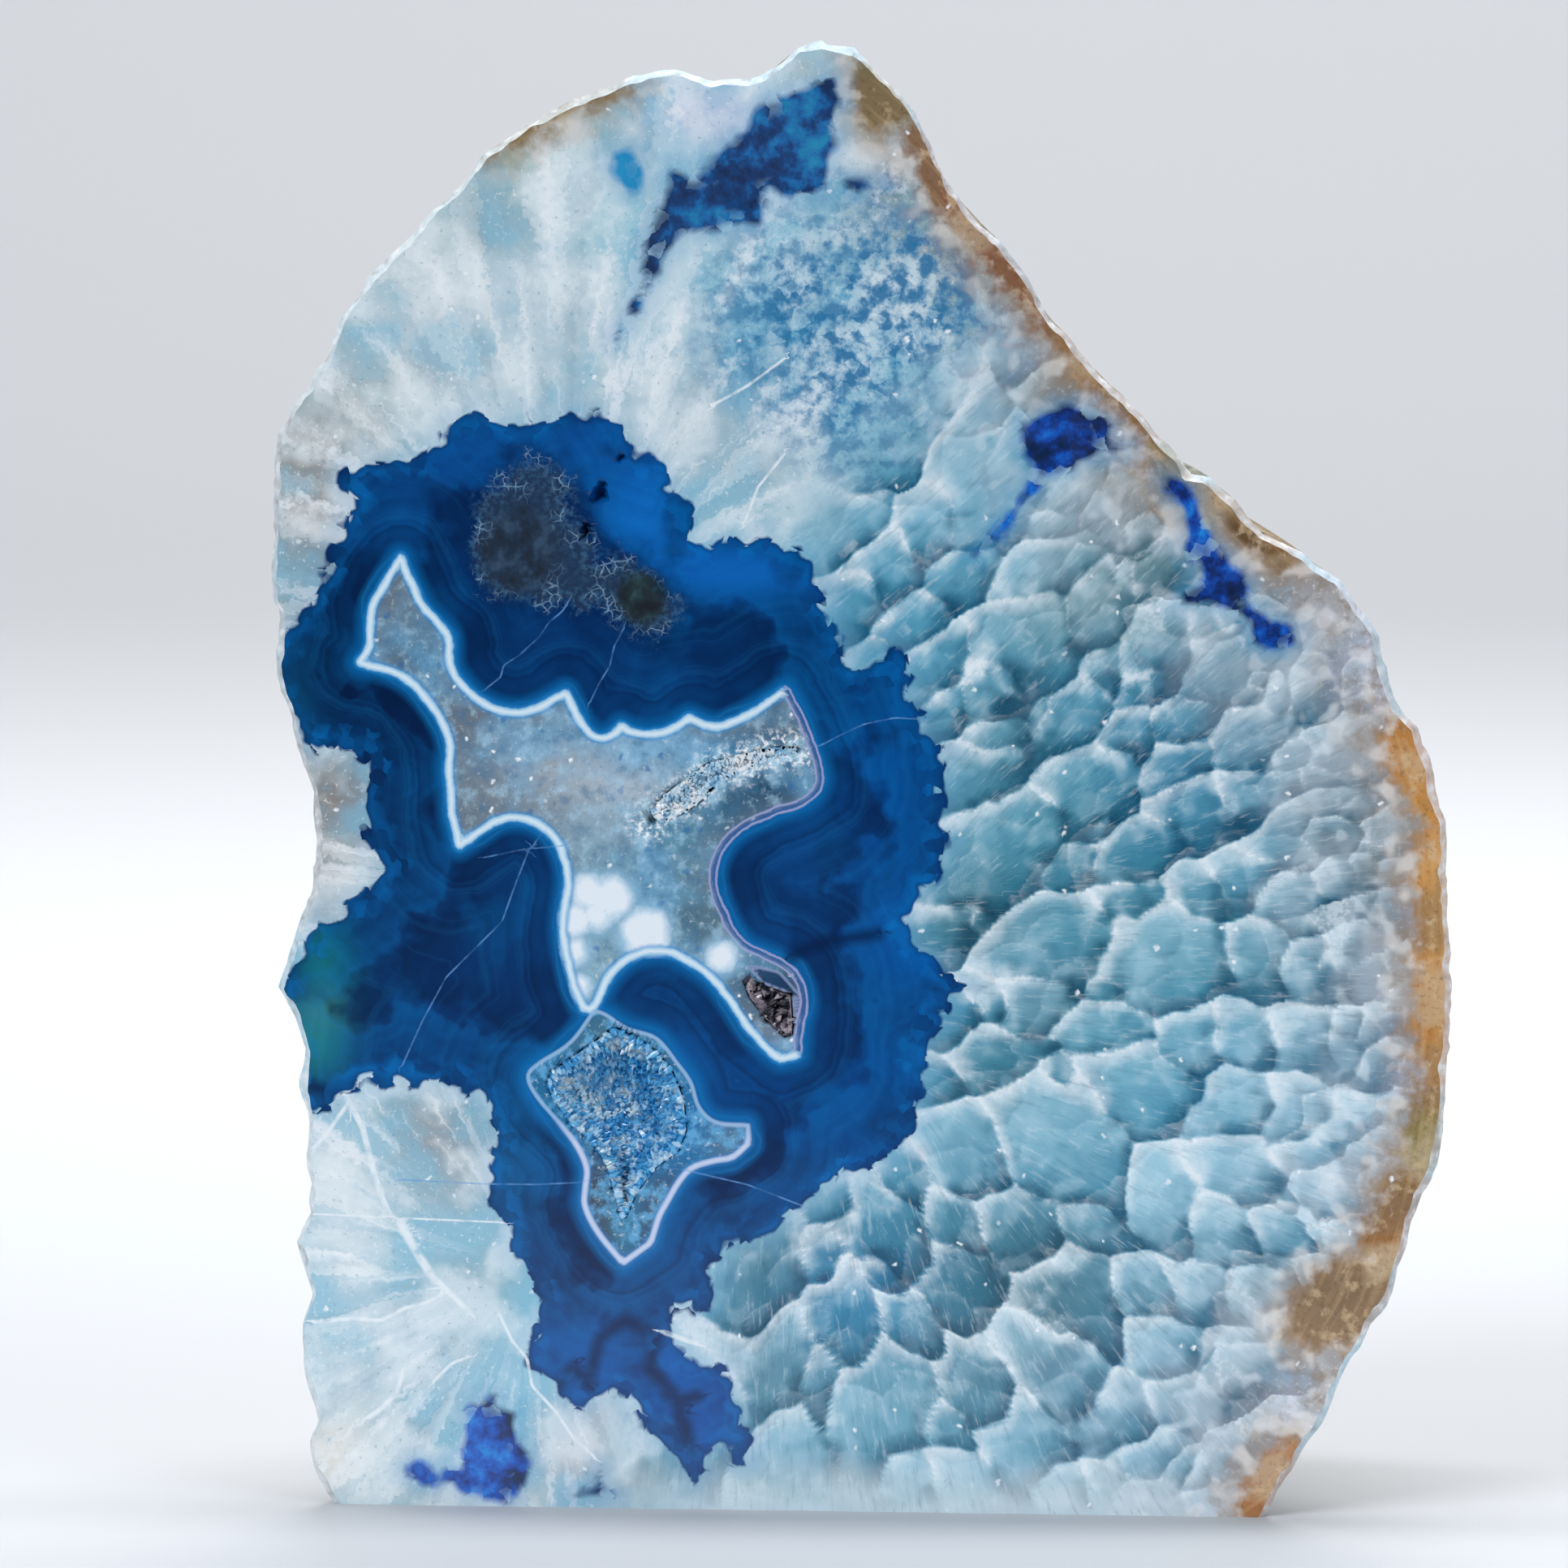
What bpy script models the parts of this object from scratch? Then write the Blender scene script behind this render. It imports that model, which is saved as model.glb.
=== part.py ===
"""Agate geode: half of a nodule, polished flat in front and sawn flat below so that it stands.

Sizes are in millimetres until MM turns them into metres. A point of the polished face is (x, z),
with x to the right and z up from the sawn base, and y is the depth behind the face. The objects are
placed so that the stone stands on z = 0 with its depth centred on y = 0.
"""

import bmesh
import bpy
import numpy as np

MM = 0.001

DEPTH = 58.0  # polished face to the rearmost lump of the rind
GROUND_EDGE = 0.9  # width and depth of the ground edge round the face
FACE_MIDDLE = (1.0, 80.0)  # the nodule swells around this point
REAR_MIDDLE = (6.0, 72.0)  # where the rearmost lump lies
RIND_GRID = 47  # points along each side of the grid over the rind
DOME_POWER = 0.88  # under 1 gives a fuller dome than a half ellipsoid
REACHES = (72.0, DEPTH, 95.0)  # the nodule's reach from the middle of its face along x, y and z
WEAR_DEPTH = 14.0  # behind the face by which the rim's teeth have worn away
WEAR_ROUNDS = 9

# The rind: size, height and seed of its lumps, and the planes along which pieces have broken off.
LUMPS = ((31.0, 2.6, 11), (14.0, 1.8, 12), (7.0, 0.8, 13))
LEDGE = (19.0, 1.2, 14)
LEDGE_STEPS = 1.6  # steps from the middle level to the highest ledge
TUCK = 4.5  # how far the rind is drawn in, so that its lumps stay hidden behind the face
# Direction out of the stone (x, y, z), and the plane's distance from the middle of the face.
BREAKS = (
    ((0.62, 0.62, 0.48), 68.0),
    ((-0.70, 0.66, 0.28), 65.0),
    ((-0.25, 0.55, 0.80), 82.0),
    ((0.20, 0.90, -0.38), 61.0),
    ((0.85, 0.30, -0.44), 73.0),
)
BREAK_ROUGHNESS = 0.9
BREAK_GRAIN = 9.0

CLEARANCE = 0.3  # between a crust of crystals and the wall of its hollow
WALL_AT_MOUTH = 0.45  # a hollow's wall drops this far before it slopes
CRUST = 0.8  # thickness of a crust under its crystals
CRUST_REACH = 0.88  # share of the way from a hollow's middle to its mouth that its crust covers
LOWER_POCKET_DEPTH = 7.0
WEDGE_VUG_DEPTH = 4.2
FISSURE_DEPTH = 2.1
DISH_POWER = 0.8  # under 1 gives a hollow steeper walls and a flatter floor
CUTTER_LID = 2.0  # how far a cutter reaches out of the face
WALL_LIFT = 1.3 * CLEARANCE  # along y, which leaves the clearance on a sloping wall
SEAM_STEPS = 49  # points along a seam while its bends are rounded
SEAM_ROUNDING = 40
CRYSTAL_SHAKE = 0.22  # how far a crust's points stray, as a share of a cell
CRYSTAL_LEAN = 0.3
BEHIND_FACE = 0.12  # the crystals' points stop this far behind the polished face

# The rim of the polished face, from the base's left end over the top to its right end.
RIM = (
    (-66.0, 0.0), (-68.8, 3.7), (-69.4, 6.8), (-68.0, 9.8), (-69.8, 15.8), (-70.0, 22.0),
    (-68.8, 26.0), (-70.5, 32.1), (-69.0, 36.2), (-69.2, 48.3), (-70.2, 51.4), (-69.5, 56.5),
    (-71.5, 62.6), (-72.7, 64.5), (-71.0, 69.8), (-68.5, 76.9), (-67.8, 83.0), (-68.8, 91.1),
    (-71.5, 99.2), (-73.0, 105.3), (-72.5, 111.3), (-73.3, 114.3), (-73.0, 123.3), (-73.0, 129.3),
    (-72.5, 132.8), (-71.5, 135.3), (-69.5, 139.3), (-66.0, 143.3), (-64.5, 148.3), (-61.0, 153.3),
    (-57.0, 157.3), (-53.0, 161.8), (-48.0, 166.8), (-44.0, 170.8), (-40.0, 172.8), (-34.0, 175.8),
    (-26.0, 178.5), (-23.0, 178.8), (-19.0, 177.6), (-14.0, 177.5), (-10.0, 179.3), (-7.5, 181.8),
    (-5.0, 182.3), (-1.0, 181.5), (1.5, 178.8), (5.0, 175.8), (8.5, 170.3), (10.5, 165.3),
    (13.5, 161.3), (17.5, 157.3), (20.2, 154.3), (23.0, 149.3), (27.0, 144.3), (32.0, 139.3),
    (36.0, 134.8), (39.5, 131.3), (40.7, 129.3), (43.0, 129.0), (46.0, 126.3), (49.5, 122.3),
    (54.0, 120.3), (59.0, 116.3), (64.0, 109.8), (64.3, 106.3), (66.0, 101.3), (68.5, 98.3),
    (70.5, 93.3), (70.8, 89.8), (72.5, 86.3), (72.5, 79.3), (73.0, 67.3), (72.8, 57.3),
    (72.3, 49.3), (71.0, 43.3), (68.5, 37.3), (67.5, 33.3), (65.8, 27.3), (63.0, 23.3),
    (58.0, 13.3), (54.0, 6.3), (50.5, 0.0),
)
# The nodule's rim before the saw took its lower end off.
SAWN_OFF = ((43.0, -11.0), (28.0, -20.0), (4.0, -26.0), (-24.0, -26.0), (-48.0, -19.0), (-61.0, -9.0))

LOWER_POCKET = (
    (-30.5, 60.6), (-34.8, 57.6), (-38.9, 54.6), (-39.3, 52.9), (-38.0, 50.6), (-36.0, 47.8),
    (-33.6, 45.8), (-31.8, 43.2), (-30.9, 40.3), (-29.6, 35.0), (-27.6, 39.5), (-25.2, 42.6),
    (-22.4, 44.6), (-21.3, 47.4), (-21.6, 51.4), (-23.4, 55.6), (-26.2, 58.4),
)
WEDGE_VUG = (
    (-15.0, 67.2), (-11.5, 65.6), (-8.4, 64.6), (-8.1, 60.5), (-8.3, 57.8), (-11.5, 61.0),
    (-14.0, 64.2),
)
# The seam across the star: points along it, each with half its width there.
STAR_FISSURE = (
    (-7.1, 94.9, 0.45), (-10.4, 94.8, 0.7), (-14.8, 93.2, 1.2), (-18.4, 92.1, 1.5),
    (-20.2, 90.1, 1.9), (-22.9, 88.3, 2.0), (-26.4, 85.7, 0.8),
)
# Small open pits in the grey patch at the top of the agate: outline and depth.
PITS = {
    "pit_upper": (((-31.6, 128.4), (-30.9, 125.5), (-33.9, 125.1), (-33.1, 127.2)), 2.2),
    "pit_middle": (((-34.1, 123.7), (-33.0, 121.7), (-34.3, 120.2), (-35.1, 121.3)), 1.7),
    "pit_top": (((-29.6, 131.9), (-28.6, 130.9), (-29.4, 130.0), (-30.6, 130.6)), 1.2),
}


def clear_scene():
    for old in list(bpy.data.objects):
        bpy.data.objects.remove(old, do_unlink=True)


def material(name, colour, roughness):
    made = bpy.data.materials.new(name)
    made.use_nodes = True
    shader = made.node_tree.nodes["Principled BSDF"]
    shader.inputs["Base Color"].default_value = (*colour, 1.0)
    shader.inputs["Roughness"].default_value = roughness
    shader.inputs["Metallic"].default_value = 0.0
    made.diffuse_color = (*colour, 1.0)
    return made


def noise(points, size, seed):
    """Smooth noise from -1 to 1: random values on a cubic lattice of this size, eased in between."""
    table = np.random.default_rng(seed).uniform(-1, 1, (16, 16, 16))
    cell = np.floor(points / size).astype(int)
    part = points / size - cell
    part = part * part * (3 - 2 * part)
    total = np.zeros(points.shape[:-1])
    for corner in np.ndindex(2, 2, 2):
        index = (cell + corner) % 16
        share = np.prod(np.where(corner, part, 1 - part), axis=-1)
        total += share * table[index[..., 0], index[..., 1], index[..., 2]]
    return total


def object_from(name, points, faces, finish):
    """A mesh object from points in millimetres, with its faces turned outwards."""
    shape = bmesh.new()
    corners = [shape.verts.new(point) for point in np.asarray(points) * MM]
    for face in faces:
        shape.faces.new([corners[i] for i in face])
    bmesh.ops.recalc_face_normals(shape, faces=shape.faces)
    if shape.calc_volume(signed=True) < 0:
        bmesh.ops.reverse_faces(shape, faces=shape.faces)
    mesh = bpy.data.meshes.new(name)
    shape.to_mesh(mesh)
    shape.free()
    mesh.materials.append(finish)
    made = bpy.data.objects.new(name, mesh)
    bpy.context.collection.objects.link(made)
    made.location = (0.0, -DEPTH / 2 * MM, 0.0)
    return made


def spread_inside(outline, count, reach=1.0, middle=None):
    """A square grid of points filling an outline, and each one's share of the way out to it.

    The grid's square rings become smaller copies of the outline around its middle. The outermost
    one lies at the share given as reach.
    """
    outline = np.array([*outline, outline[0]])
    middle = outline[:-1].mean(axis=0) if middle is None else np.array(middle)
    along = np.concatenate([[0], np.cumsum(np.linalg.norm(np.diff(outline, axis=0), axis=1))])
    a, b = np.meshgrid(np.linspace(-1, 1, count), np.linspace(-1, 1, count), indexing="ij")
    share = np.maximum(abs(a), abs(b))
    safe = np.maximum(share, 1e-9)
    eighths = np.select(
        [(abs(a) >= abs(b)) & (a > 0), (abs(a) >= abs(b)), b > 0],
        [b / safe, 4 - b / safe, 2 - a / safe],
        6 + a / safe,
    )
    place = (eighths / 8 % 1.0) * along[-1]
    on_rim = np.stack([np.interp(place, along, outline[:, i]) for i in (0, 1)], -1)
    share = share * reach
    return middle + (on_rim - middle) * share[..., None], share


def evened(rim, rounds):
    """The rim with its small teeth worn away, each point moving towards its two neighbours."""
    for _ in range(rounds):
        rim = 0.5 * rim + 0.25 * (np.roll(rim, 1, axis=0) + np.roll(rim, -1, axis=0))
    return rim


def rind():
    """A square grid of points over the rind, whose border is the rim of the nodule.

    A point that lies a share of the way out to the rim is set back by the cosine of that share of a
    quarter turn and drawn in by its sine, which makes a dome. The rim's teeth wear away with depth.
    Lumps push the points outwards, ledges step them, all are drawn in a little, and what is past a
    break's rough plane is moved onto it.
    """
    rim = np.array(RIM + SAWN_OFF)
    grid, share = spread_inside(rim, RIND_GRID, middle=FACE_MIDDLE)
    worn, _ = spread_inside(evened(rim, WEAR_ROUNDS), RIND_GRID, middle=FACE_MIDDLE)
    turn = (share * np.pi / 2)[..., None]
    out = np.maximum(share, 1e-9)[..., None]
    back = GROUND_EDGE + (DEPTH - GROUND_EDGE) * np.maximum(np.cos(turn), 0) ** DOME_POWER
    draw = np.sin(turn) ** DOME_POWER
    wear = np.clip((back - GROUND_EDGE) / WEAR_DEPTH, 0, 1)
    flat = (grid * (1 - wear) + worn * wear - FACE_MIDDLE) / out * draw + FACE_MIDDLE
    flat += (np.array(REAR_MIDDLE) - FACE_MIDDLE) * (1 - draw)
    points = np.insert(flat, 1, back[..., 0], axis=2)

    middle = np.insert(np.array(FACE_MIDDLE), 1, 0.0)
    outward = (points - middle) / np.array(REACHES) ** 2
    outward /= np.linalg.norm(outward, axis=-1, keepdims=True)
    height = sum(rise * noise(points, size, seed) for size, rise, seed in LUMPS)
    size, step, seed = LEDGE
    height += step * np.round(LEDGE_STEPS * noise(points, size, seed)) - TUCK
    points += outward * (height * wear[..., 0])[..., None]

    for number, (direction, distance) in enumerate(BREAKS):
        direction = np.array(direction) / np.linalg.norm(direction)
        rough = BREAK_ROUGHNESS * noise(points, BREAK_GRAIN, 30 + number)
        past = np.clip((points - middle) @ direction - distance - rough, 0, None)
        points -= (past * wear[..., 0])[..., None] * direction
    points[..., 1] *= DEPTH / points[..., 1].max()
    return points


def border_of(grid):
    """The points round the border of a grid, in order."""
    return np.concatenate([grid[:-1, 0], grid[-1, :-1], grid[:0:-1, -1], grid[0, :0:-1]])


def stone(rough, polished):
    """The nodule: the rind, the polished face in front, and the ground edge between them."""
    rear = rind()
    count = len(rear)
    number = np.arange(count * count).reshape(count, count)
    cells = np.stack([number[:-1, :-1], number[1:, :-1], number[1:, 1:], number[:-1, 1:]], -1)
    faces = [tuple(cell) for cell in cells.reshape(-1, 4)]
    rim = border_of(rear)
    inward = np.insert(np.array(FACE_MIDDLE), 1, 0.0) - rim
    inward[:, 1] = 0.0
    inward /= np.linalg.norm(inward, axis=1, keepdims=True)
    edge = (rim + inward * GROUND_EDGE) * (1, 0, 1)
    border = border_of(number)
    front = count * count + np.arange(len(border))
    for i, j in zip(range(len(border)), [*range(1, len(border)), 0]):
        faces.append((border[i], border[j], front[j], front[i]))
    faces.append(tuple(front))
    made = object_from("agate_geode", np.concatenate([rear.reshape(-1, 3), edge]), faces, rough)
    saw_base(made.data)
    polish_face(made.data, polished)
    return made


def saw_base(mesh):
    """Takes off what is below z = 0 and closes the cut with one flat face."""
    shape = bmesh.new()
    shape.from_mesh(mesh)
    everything = shape.verts[:] + shape.edges[:] + shape.faces[:]
    cut = bmesh.ops.bisect_plane(
        shape, geom=everything, dist=1e-7, plane_co=(0, 0, 0), plane_no=(0, 0, 1), clear_inner=True
    )
    loop = [part for part in cut["geom_cut"] if isinstance(part, bmesh.types.BMEdge)]
    bmesh.ops.contextual_create(shape, geom=loop)
    bmesh.ops.recalc_face_normals(shape, faces=shape.faces)
    shape.to_mesh(mesh)
    shape.free()


def polish_face(mesh, polished):
    """Gives the polished front its own colour and shades the rind smooth between its edges."""
    mesh.materials.append(polished)
    for face in mesh.polygons:
        face.material_index = int(face.normal.y < -0.9)
    mesh.shade_smooth()
    mesh.set_sharp_from_angle(angle=np.radians(35))


def spread_along(seam, count, across, reach=1.0):
    """A grid of points along a seam of changing width, and each one's share of the way to its side."""
    seam = np.array(seam)
    fine = np.linspace(0, 1, SEAM_STEPS)
    stations = np.linspace(0, 1, len(seam))
    line = np.stack([np.interp(fine, stations, seam[:, i]) for i in range(3)])
    for _ in range(SEAM_ROUNDING):
        line[:, 1:-1] = 0.5 * line[:, 1:-1] + 0.25 * (line[:, :-2] + line[:, 2:])
    end = np.linspace(-reach, reach, count)
    x, z, half = (np.interp((end + 1) / 2, fine, row) for row in line)
    course = np.stack([np.gradient(x), np.gradient(z)], -1)
    course /= np.linalg.norm(course, axis=1, keepdims=True)
    aside = np.stack([-course[:, 1], course[:, 0]], -1)
    side = np.linspace(-reach, reach, across)
    grid = np.stack([x, z], -1)[:, None] + aside[:, None] * (half[:, None] * side)[..., None]
    return grid, np.maximum(abs(side)[None, :], abs(end)[:, None] ** 4)


def skin(name, front, back, finish, spires=None):
    """One closed body between two grids of points, with a four-sided point on each front cell if given."""
    rows, columns = front.shape[:2]
    number = np.arange(rows * columns).reshape(rows, columns)
    a, b, c, d = number[:-1, :-1], number[1:, :-1], number[1:, 1:], number[:-1, 1:]
    cells = np.stack([a, b, c, d], -1).reshape(-1, 4)
    points = [front.reshape(-1, 3), back.reshape(-1, 3)]
    faces = [tuple(cell + rows * columns) for cell in cells[:, ::-1]]
    if spires is None:
        faces += [tuple(cell) for cell in cells]
    else:
        points.append(spires.reshape(-1, 3))
        for tip, cell in enumerate(cells):
            faces += [(cell[k], cell[(k + 1) % 4], 2 * rows * columns + tip) for k in range(4)]
    border = border_of(number)
    for i, j in zip(border, np.roll(border, -1)):
        faces.append((i, i + rows * columns, j + rows * columns, j))
    return object_from(name, np.concatenate(points), faces, finish)


def hollow_depth(share, depth):
    """Depth of a hollow's wall: a short upright drop at its mouth, then a dish."""
    return WALL_AT_MOUTH + (depth - WALL_AT_MOUTH) * (1 - share**2) ** DISH_POWER


def hollow(name, grid, share, depth, finish):
    """A cutter for a hollow, reaching out of the polished face."""
    wall = np.insert(grid, 1, hollow_depth(share, depth), axis=2)
    cutter = skin(name, np.insert(grid, 1, -CUTTER_LID, axis=2), wall, finish)
    cutter.hide_render = True
    cutter.display_type = "WIRE"
    return cutter


def crystal_crust(name, grid, share, depth, point_height, seed, finish):
    """A crust that lines a hollow, with a crystal point standing on each of its cells.

    Its back is the hollow's wall lifted by the clearance, and its free side is lifted again by the
    crust's thickness. Each cell's middle is raised into a point that leans a random way. All of it
    stays behind the polished face.
    """
    random = np.random.default_rng(seed)
    back = np.insert(grid, 1, hollow_depth(share, depth) - WALL_LIFT, axis=2)
    front = back - np.array([0.0, CRUST, 0.0])
    step = np.linalg.norm(grid[1, 1] - grid[0, 1])
    inside = (share < share.max() - 1e-6)[..., None]
    front[..., [0, 2]] += random.uniform(-CRYSTAL_SHAKE, CRYSTAL_SHAKE, grid.shape) * step * inside
    front[..., 1] = np.maximum(front[..., 1], 2 * BEHIND_FACE)
    tip = (front[:-1, :-1] + front[1:, :-1] + front[1:, 1:] + front[:-1, 1:]) / 4
    tip[..., [0, 2]] += random.uniform(-CRYSTAL_LEAN, CRYSTAL_LEAN, tip.shape[:2] + (2,)) * step
    tip[..., 1] -= point_height * random.uniform(0.5, 1.2, tip.shape[:2])
    tip[..., 1] = np.maximum(tip[..., 1], BEHIND_FACE)
    return skin(name, front, back, finish, tip)


def main():
    clear_scene()
    rough = material("chalcedony_rind", (0.36, 0.27, 0.18), 0.6)
    polished = material("polished_blue_quartz", (0.16, 0.45, 0.62), 0.1)
    pale = material("blue_druse", (0.25, 0.55, 0.72), 0.15)
    dark = material("smoky_druse", (0.16, 0.17, 0.22), 0.15)
    white = material("sugary_quartz", (0.75, 0.85, 0.92), 0.3)

    cutters = [
        hollow("cut_lower_pocket", *spread_inside(LOWER_POCKET, 17), LOWER_POCKET_DEPTH, polished),
        hollow("cut_wedge_vug", *spread_inside(WEDGE_VUG, 9), WEDGE_VUG_DEPTH, polished),
        hollow("cut_star_fissure", *spread_along(STAR_FISSURE, 25, 7), FISSURE_DEPTH, polished),
    ]
    for name, (outline, depth) in PITS.items():
        cutters.append(hollow("cut_" + name, *spread_inside(outline, 5), depth, polished))

    body = stone(rough, polished)
    for cutter in cutters:
        cut = body.modifiers.new(cutter.name, "BOOLEAN")
        cut.operation = "DIFFERENCE"
        cut.solver = "EXACT"
        cut.object = cutter

    pocket = spread_inside(LOWER_POCKET, 17, CRUST_REACH)
    crystal_crust("druse_lower_pocket", *pocket, LOWER_POCKET_DEPTH, 1.1, 21, pale)
    vug = spread_inside(WEDGE_VUG, 9, CRUST_REACH)
    crystal_crust("druse_wedge_vug", *vug, WEDGE_VUG_DEPTH, 0.8, 22, dark)
    fissure = spread_along(STAR_FISSURE, 25, 5, CRUST_REACH)
    crystal_crust("druse_star_fissure", *fissure, FISSURE_DEPTH, 0.5, 23, white)


main()
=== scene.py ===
"""Looks of the agate geode: a dyed nodule, polished in front, sawn below, with its rough rind behind.

Sizes are in millimetres until MM turns them into metres. A point of the polished face is (x, z), with
x to the right and z up from the sawn base, and y is the depth behind the face, as in the solid model.
Every marking on the face is worked out from the outlines, lines and soft spots listed below.
"""

import functools

import bmesh
import bpy
import numpy as np
from mathutils import Matrix, Vector

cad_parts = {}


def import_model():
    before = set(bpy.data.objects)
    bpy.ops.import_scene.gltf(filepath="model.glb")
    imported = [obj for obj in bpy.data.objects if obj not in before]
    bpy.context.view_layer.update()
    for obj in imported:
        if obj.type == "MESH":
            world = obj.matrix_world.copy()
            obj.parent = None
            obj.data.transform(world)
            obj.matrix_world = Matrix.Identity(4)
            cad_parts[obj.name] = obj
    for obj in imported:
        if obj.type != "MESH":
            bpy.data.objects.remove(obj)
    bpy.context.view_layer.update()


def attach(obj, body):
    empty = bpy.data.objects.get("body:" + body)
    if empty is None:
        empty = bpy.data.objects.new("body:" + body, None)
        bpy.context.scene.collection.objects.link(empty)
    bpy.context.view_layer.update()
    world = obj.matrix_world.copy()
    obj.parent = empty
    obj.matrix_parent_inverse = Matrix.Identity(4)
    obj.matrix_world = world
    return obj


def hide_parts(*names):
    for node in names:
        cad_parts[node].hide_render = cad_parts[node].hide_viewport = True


MM = 0.001

# The solid model's own driving values.
DEPTH = 58.0
GROUND_EDGE = 0.9
FACE_MIDDLE = (1.0, 80.0)
REAR_MIDDLE = (6.0, 72.0)
DOME_POWER = 0.88
REACHES = (72.0, DEPTH, 95.0)
WEAR_DEPTH = 14.0
WEAR_ROUNDS = 9
LUMPS = ((31.0, 2.6, 11), (14.0, 1.8, 12), (7.0, 0.8, 13))
LEDGE = (19.0, 1.2, 14)
LEDGE_STEPS = 1.6
TUCK = 4.5
BREAKS = (
    ((0.62, 0.62, 0.48), 68.0),
    ((-0.70, 0.66, 0.28), 65.0),
    ((-0.25, 0.55, 0.80), 82.0),
    ((0.20, 0.90, -0.38), 61.0),
    ((0.85, 0.30, -0.44), 73.0),
)
BREAK_ROUGHNESS = 0.9
BREAK_GRAIN = 9.0
WALL_AT_MOUTH = 0.45
DISH_POWER = 0.8
CLEARANCE = 0.3
CRUST = 0.8
RIM = (
    (-66.0, 0.0), (-68.8, 3.7), (-69.4, 6.8), (-68.0, 9.8), (-69.8, 15.8), (-70.0, 22.0),
    (-68.8, 26.0), (-70.5, 32.1), (-69.0, 36.2), (-69.2, 48.3), (-70.2, 51.4), (-69.5, 56.5),
    (-71.5, 62.6), (-72.7, 64.5), (-71.0, 69.8), (-68.5, 76.9), (-67.8, 83.0), (-68.8, 91.1),
    (-71.5, 99.2), (-73.0, 105.3), (-72.5, 111.3), (-73.3, 114.3), (-73.0, 123.3), (-73.0, 129.3),
    (-72.5, 132.8), (-71.5, 135.3), (-69.5, 139.3), (-66.0, 143.3), (-64.5, 148.3), (-61.0, 153.3),
    (-57.0, 157.3), (-53.0, 161.8), (-48.0, 166.8), (-44.0, 170.8), (-40.0, 172.8), (-34.0, 175.8),
    (-26.0, 178.5), (-23.0, 178.8), (-19.0, 177.6), (-14.0, 177.5), (-10.0, 179.3), (-7.5, 181.8),
    (-5.0, 182.3), (-1.0, 181.5), (1.5, 178.8), (5.0, 175.8), (8.5, 170.3), (10.5, 165.3),
    (13.5, 161.3), (17.5, 157.3), (20.2, 154.3), (23.0, 149.3), (27.0, 144.3), (32.0, 139.3),
    (36.0, 134.8), (39.5, 131.3), (40.7, 129.3), (43.0, 129.0), (46.0, 126.3), (49.5, 122.3),
    (54.0, 120.3), (59.0, 116.3), (64.0, 109.8), (64.3, 106.3), (66.0, 101.3), (68.5, 98.3),
    (70.5, 93.3), (70.8, 89.8), (72.5, 86.3), (72.5, 79.3), (73.0, 67.3), (72.8, 57.3),
    (72.3, 49.3), (71.0, 43.3), (68.5, 37.3), (67.5, 33.3), (65.8, 27.3), (63.0, 23.3),
    (58.0, 13.3), (54.0, 6.3), (50.5, 0.0),
)
SAWN_OFF = ((43.0, -11.0), (28.0, -20.0), (4.0, -26.0), (-24.0, -26.0), (-48.0, -19.0), (-61.0, -9.0))
LOWER_POCKET = (
    (-30.5, 60.6), (-34.8, 57.6), (-38.9, 54.6), (-39.3, 52.9), (-38.0, 50.6), (-36.0, 47.8),
    (-33.6, 45.8), (-31.8, 43.2), (-30.9, 40.3), (-29.6, 35.0), (-27.6, 39.5), (-25.2, 42.6),
    (-22.4, 44.6), (-21.3, 47.4), (-21.6, 51.4), (-23.4, 55.6), (-26.2, 58.4),
)
LOWER_POCKET_DEPTH = 7.0
WEDGE_VUG = (
    (-15.0, 67.2), (-11.5, 65.6), (-8.4, 64.6), (-8.1, 60.5), (-8.3, 57.8), (-11.5, 61.0),
    (-14.0, 64.2),
)
WEDGE_VUG_DEPTH = 4.2
# The seam across the star: points along it, each with half its width there.
STAR_FISSURE = (
    (-7.1, 94.9, 0.45), (-10.4, 94.8, 0.7), (-14.8, 93.2, 1.2), (-18.4, 92.1, 1.5),
    (-20.2, 90.1, 1.9), (-22.9, 88.3, 2.0), (-26.4, 85.7, 0.8),
)
FISSURE_DEPTH = 2.1
PITS = (
    (((-31.6, 128.4), (-30.9, 125.5), (-33.9, 125.1), (-33.1, 127.2)), 2.2),
    (((-34.1, 123.7), (-33.0, 121.7), (-34.3, 120.2), (-35.1, 121.3)), 1.7),
    (((-29.6, 131.9), (-28.6, 130.9), (-29.4, 130.0), (-30.6, 130.6)), 1.2),
)

# The fine surface.
FACE_GRID = 281  # points along each side of the grid over the polished face
RIND_GRID = 141  # FACE_GRID - 1 is twice RIND_GRID - 1, so that the two borders meet
FINE_LUMPS = ((4.2, 0.34, 51), (2.1, 0.2, 52))
RIM_WANDER = ((3.1, 0.42, 61), (1.3, 0.26, 62))  # size, sway and seed of the rim's small chips
RIM_WANDER_REACH = 3.0

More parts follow.
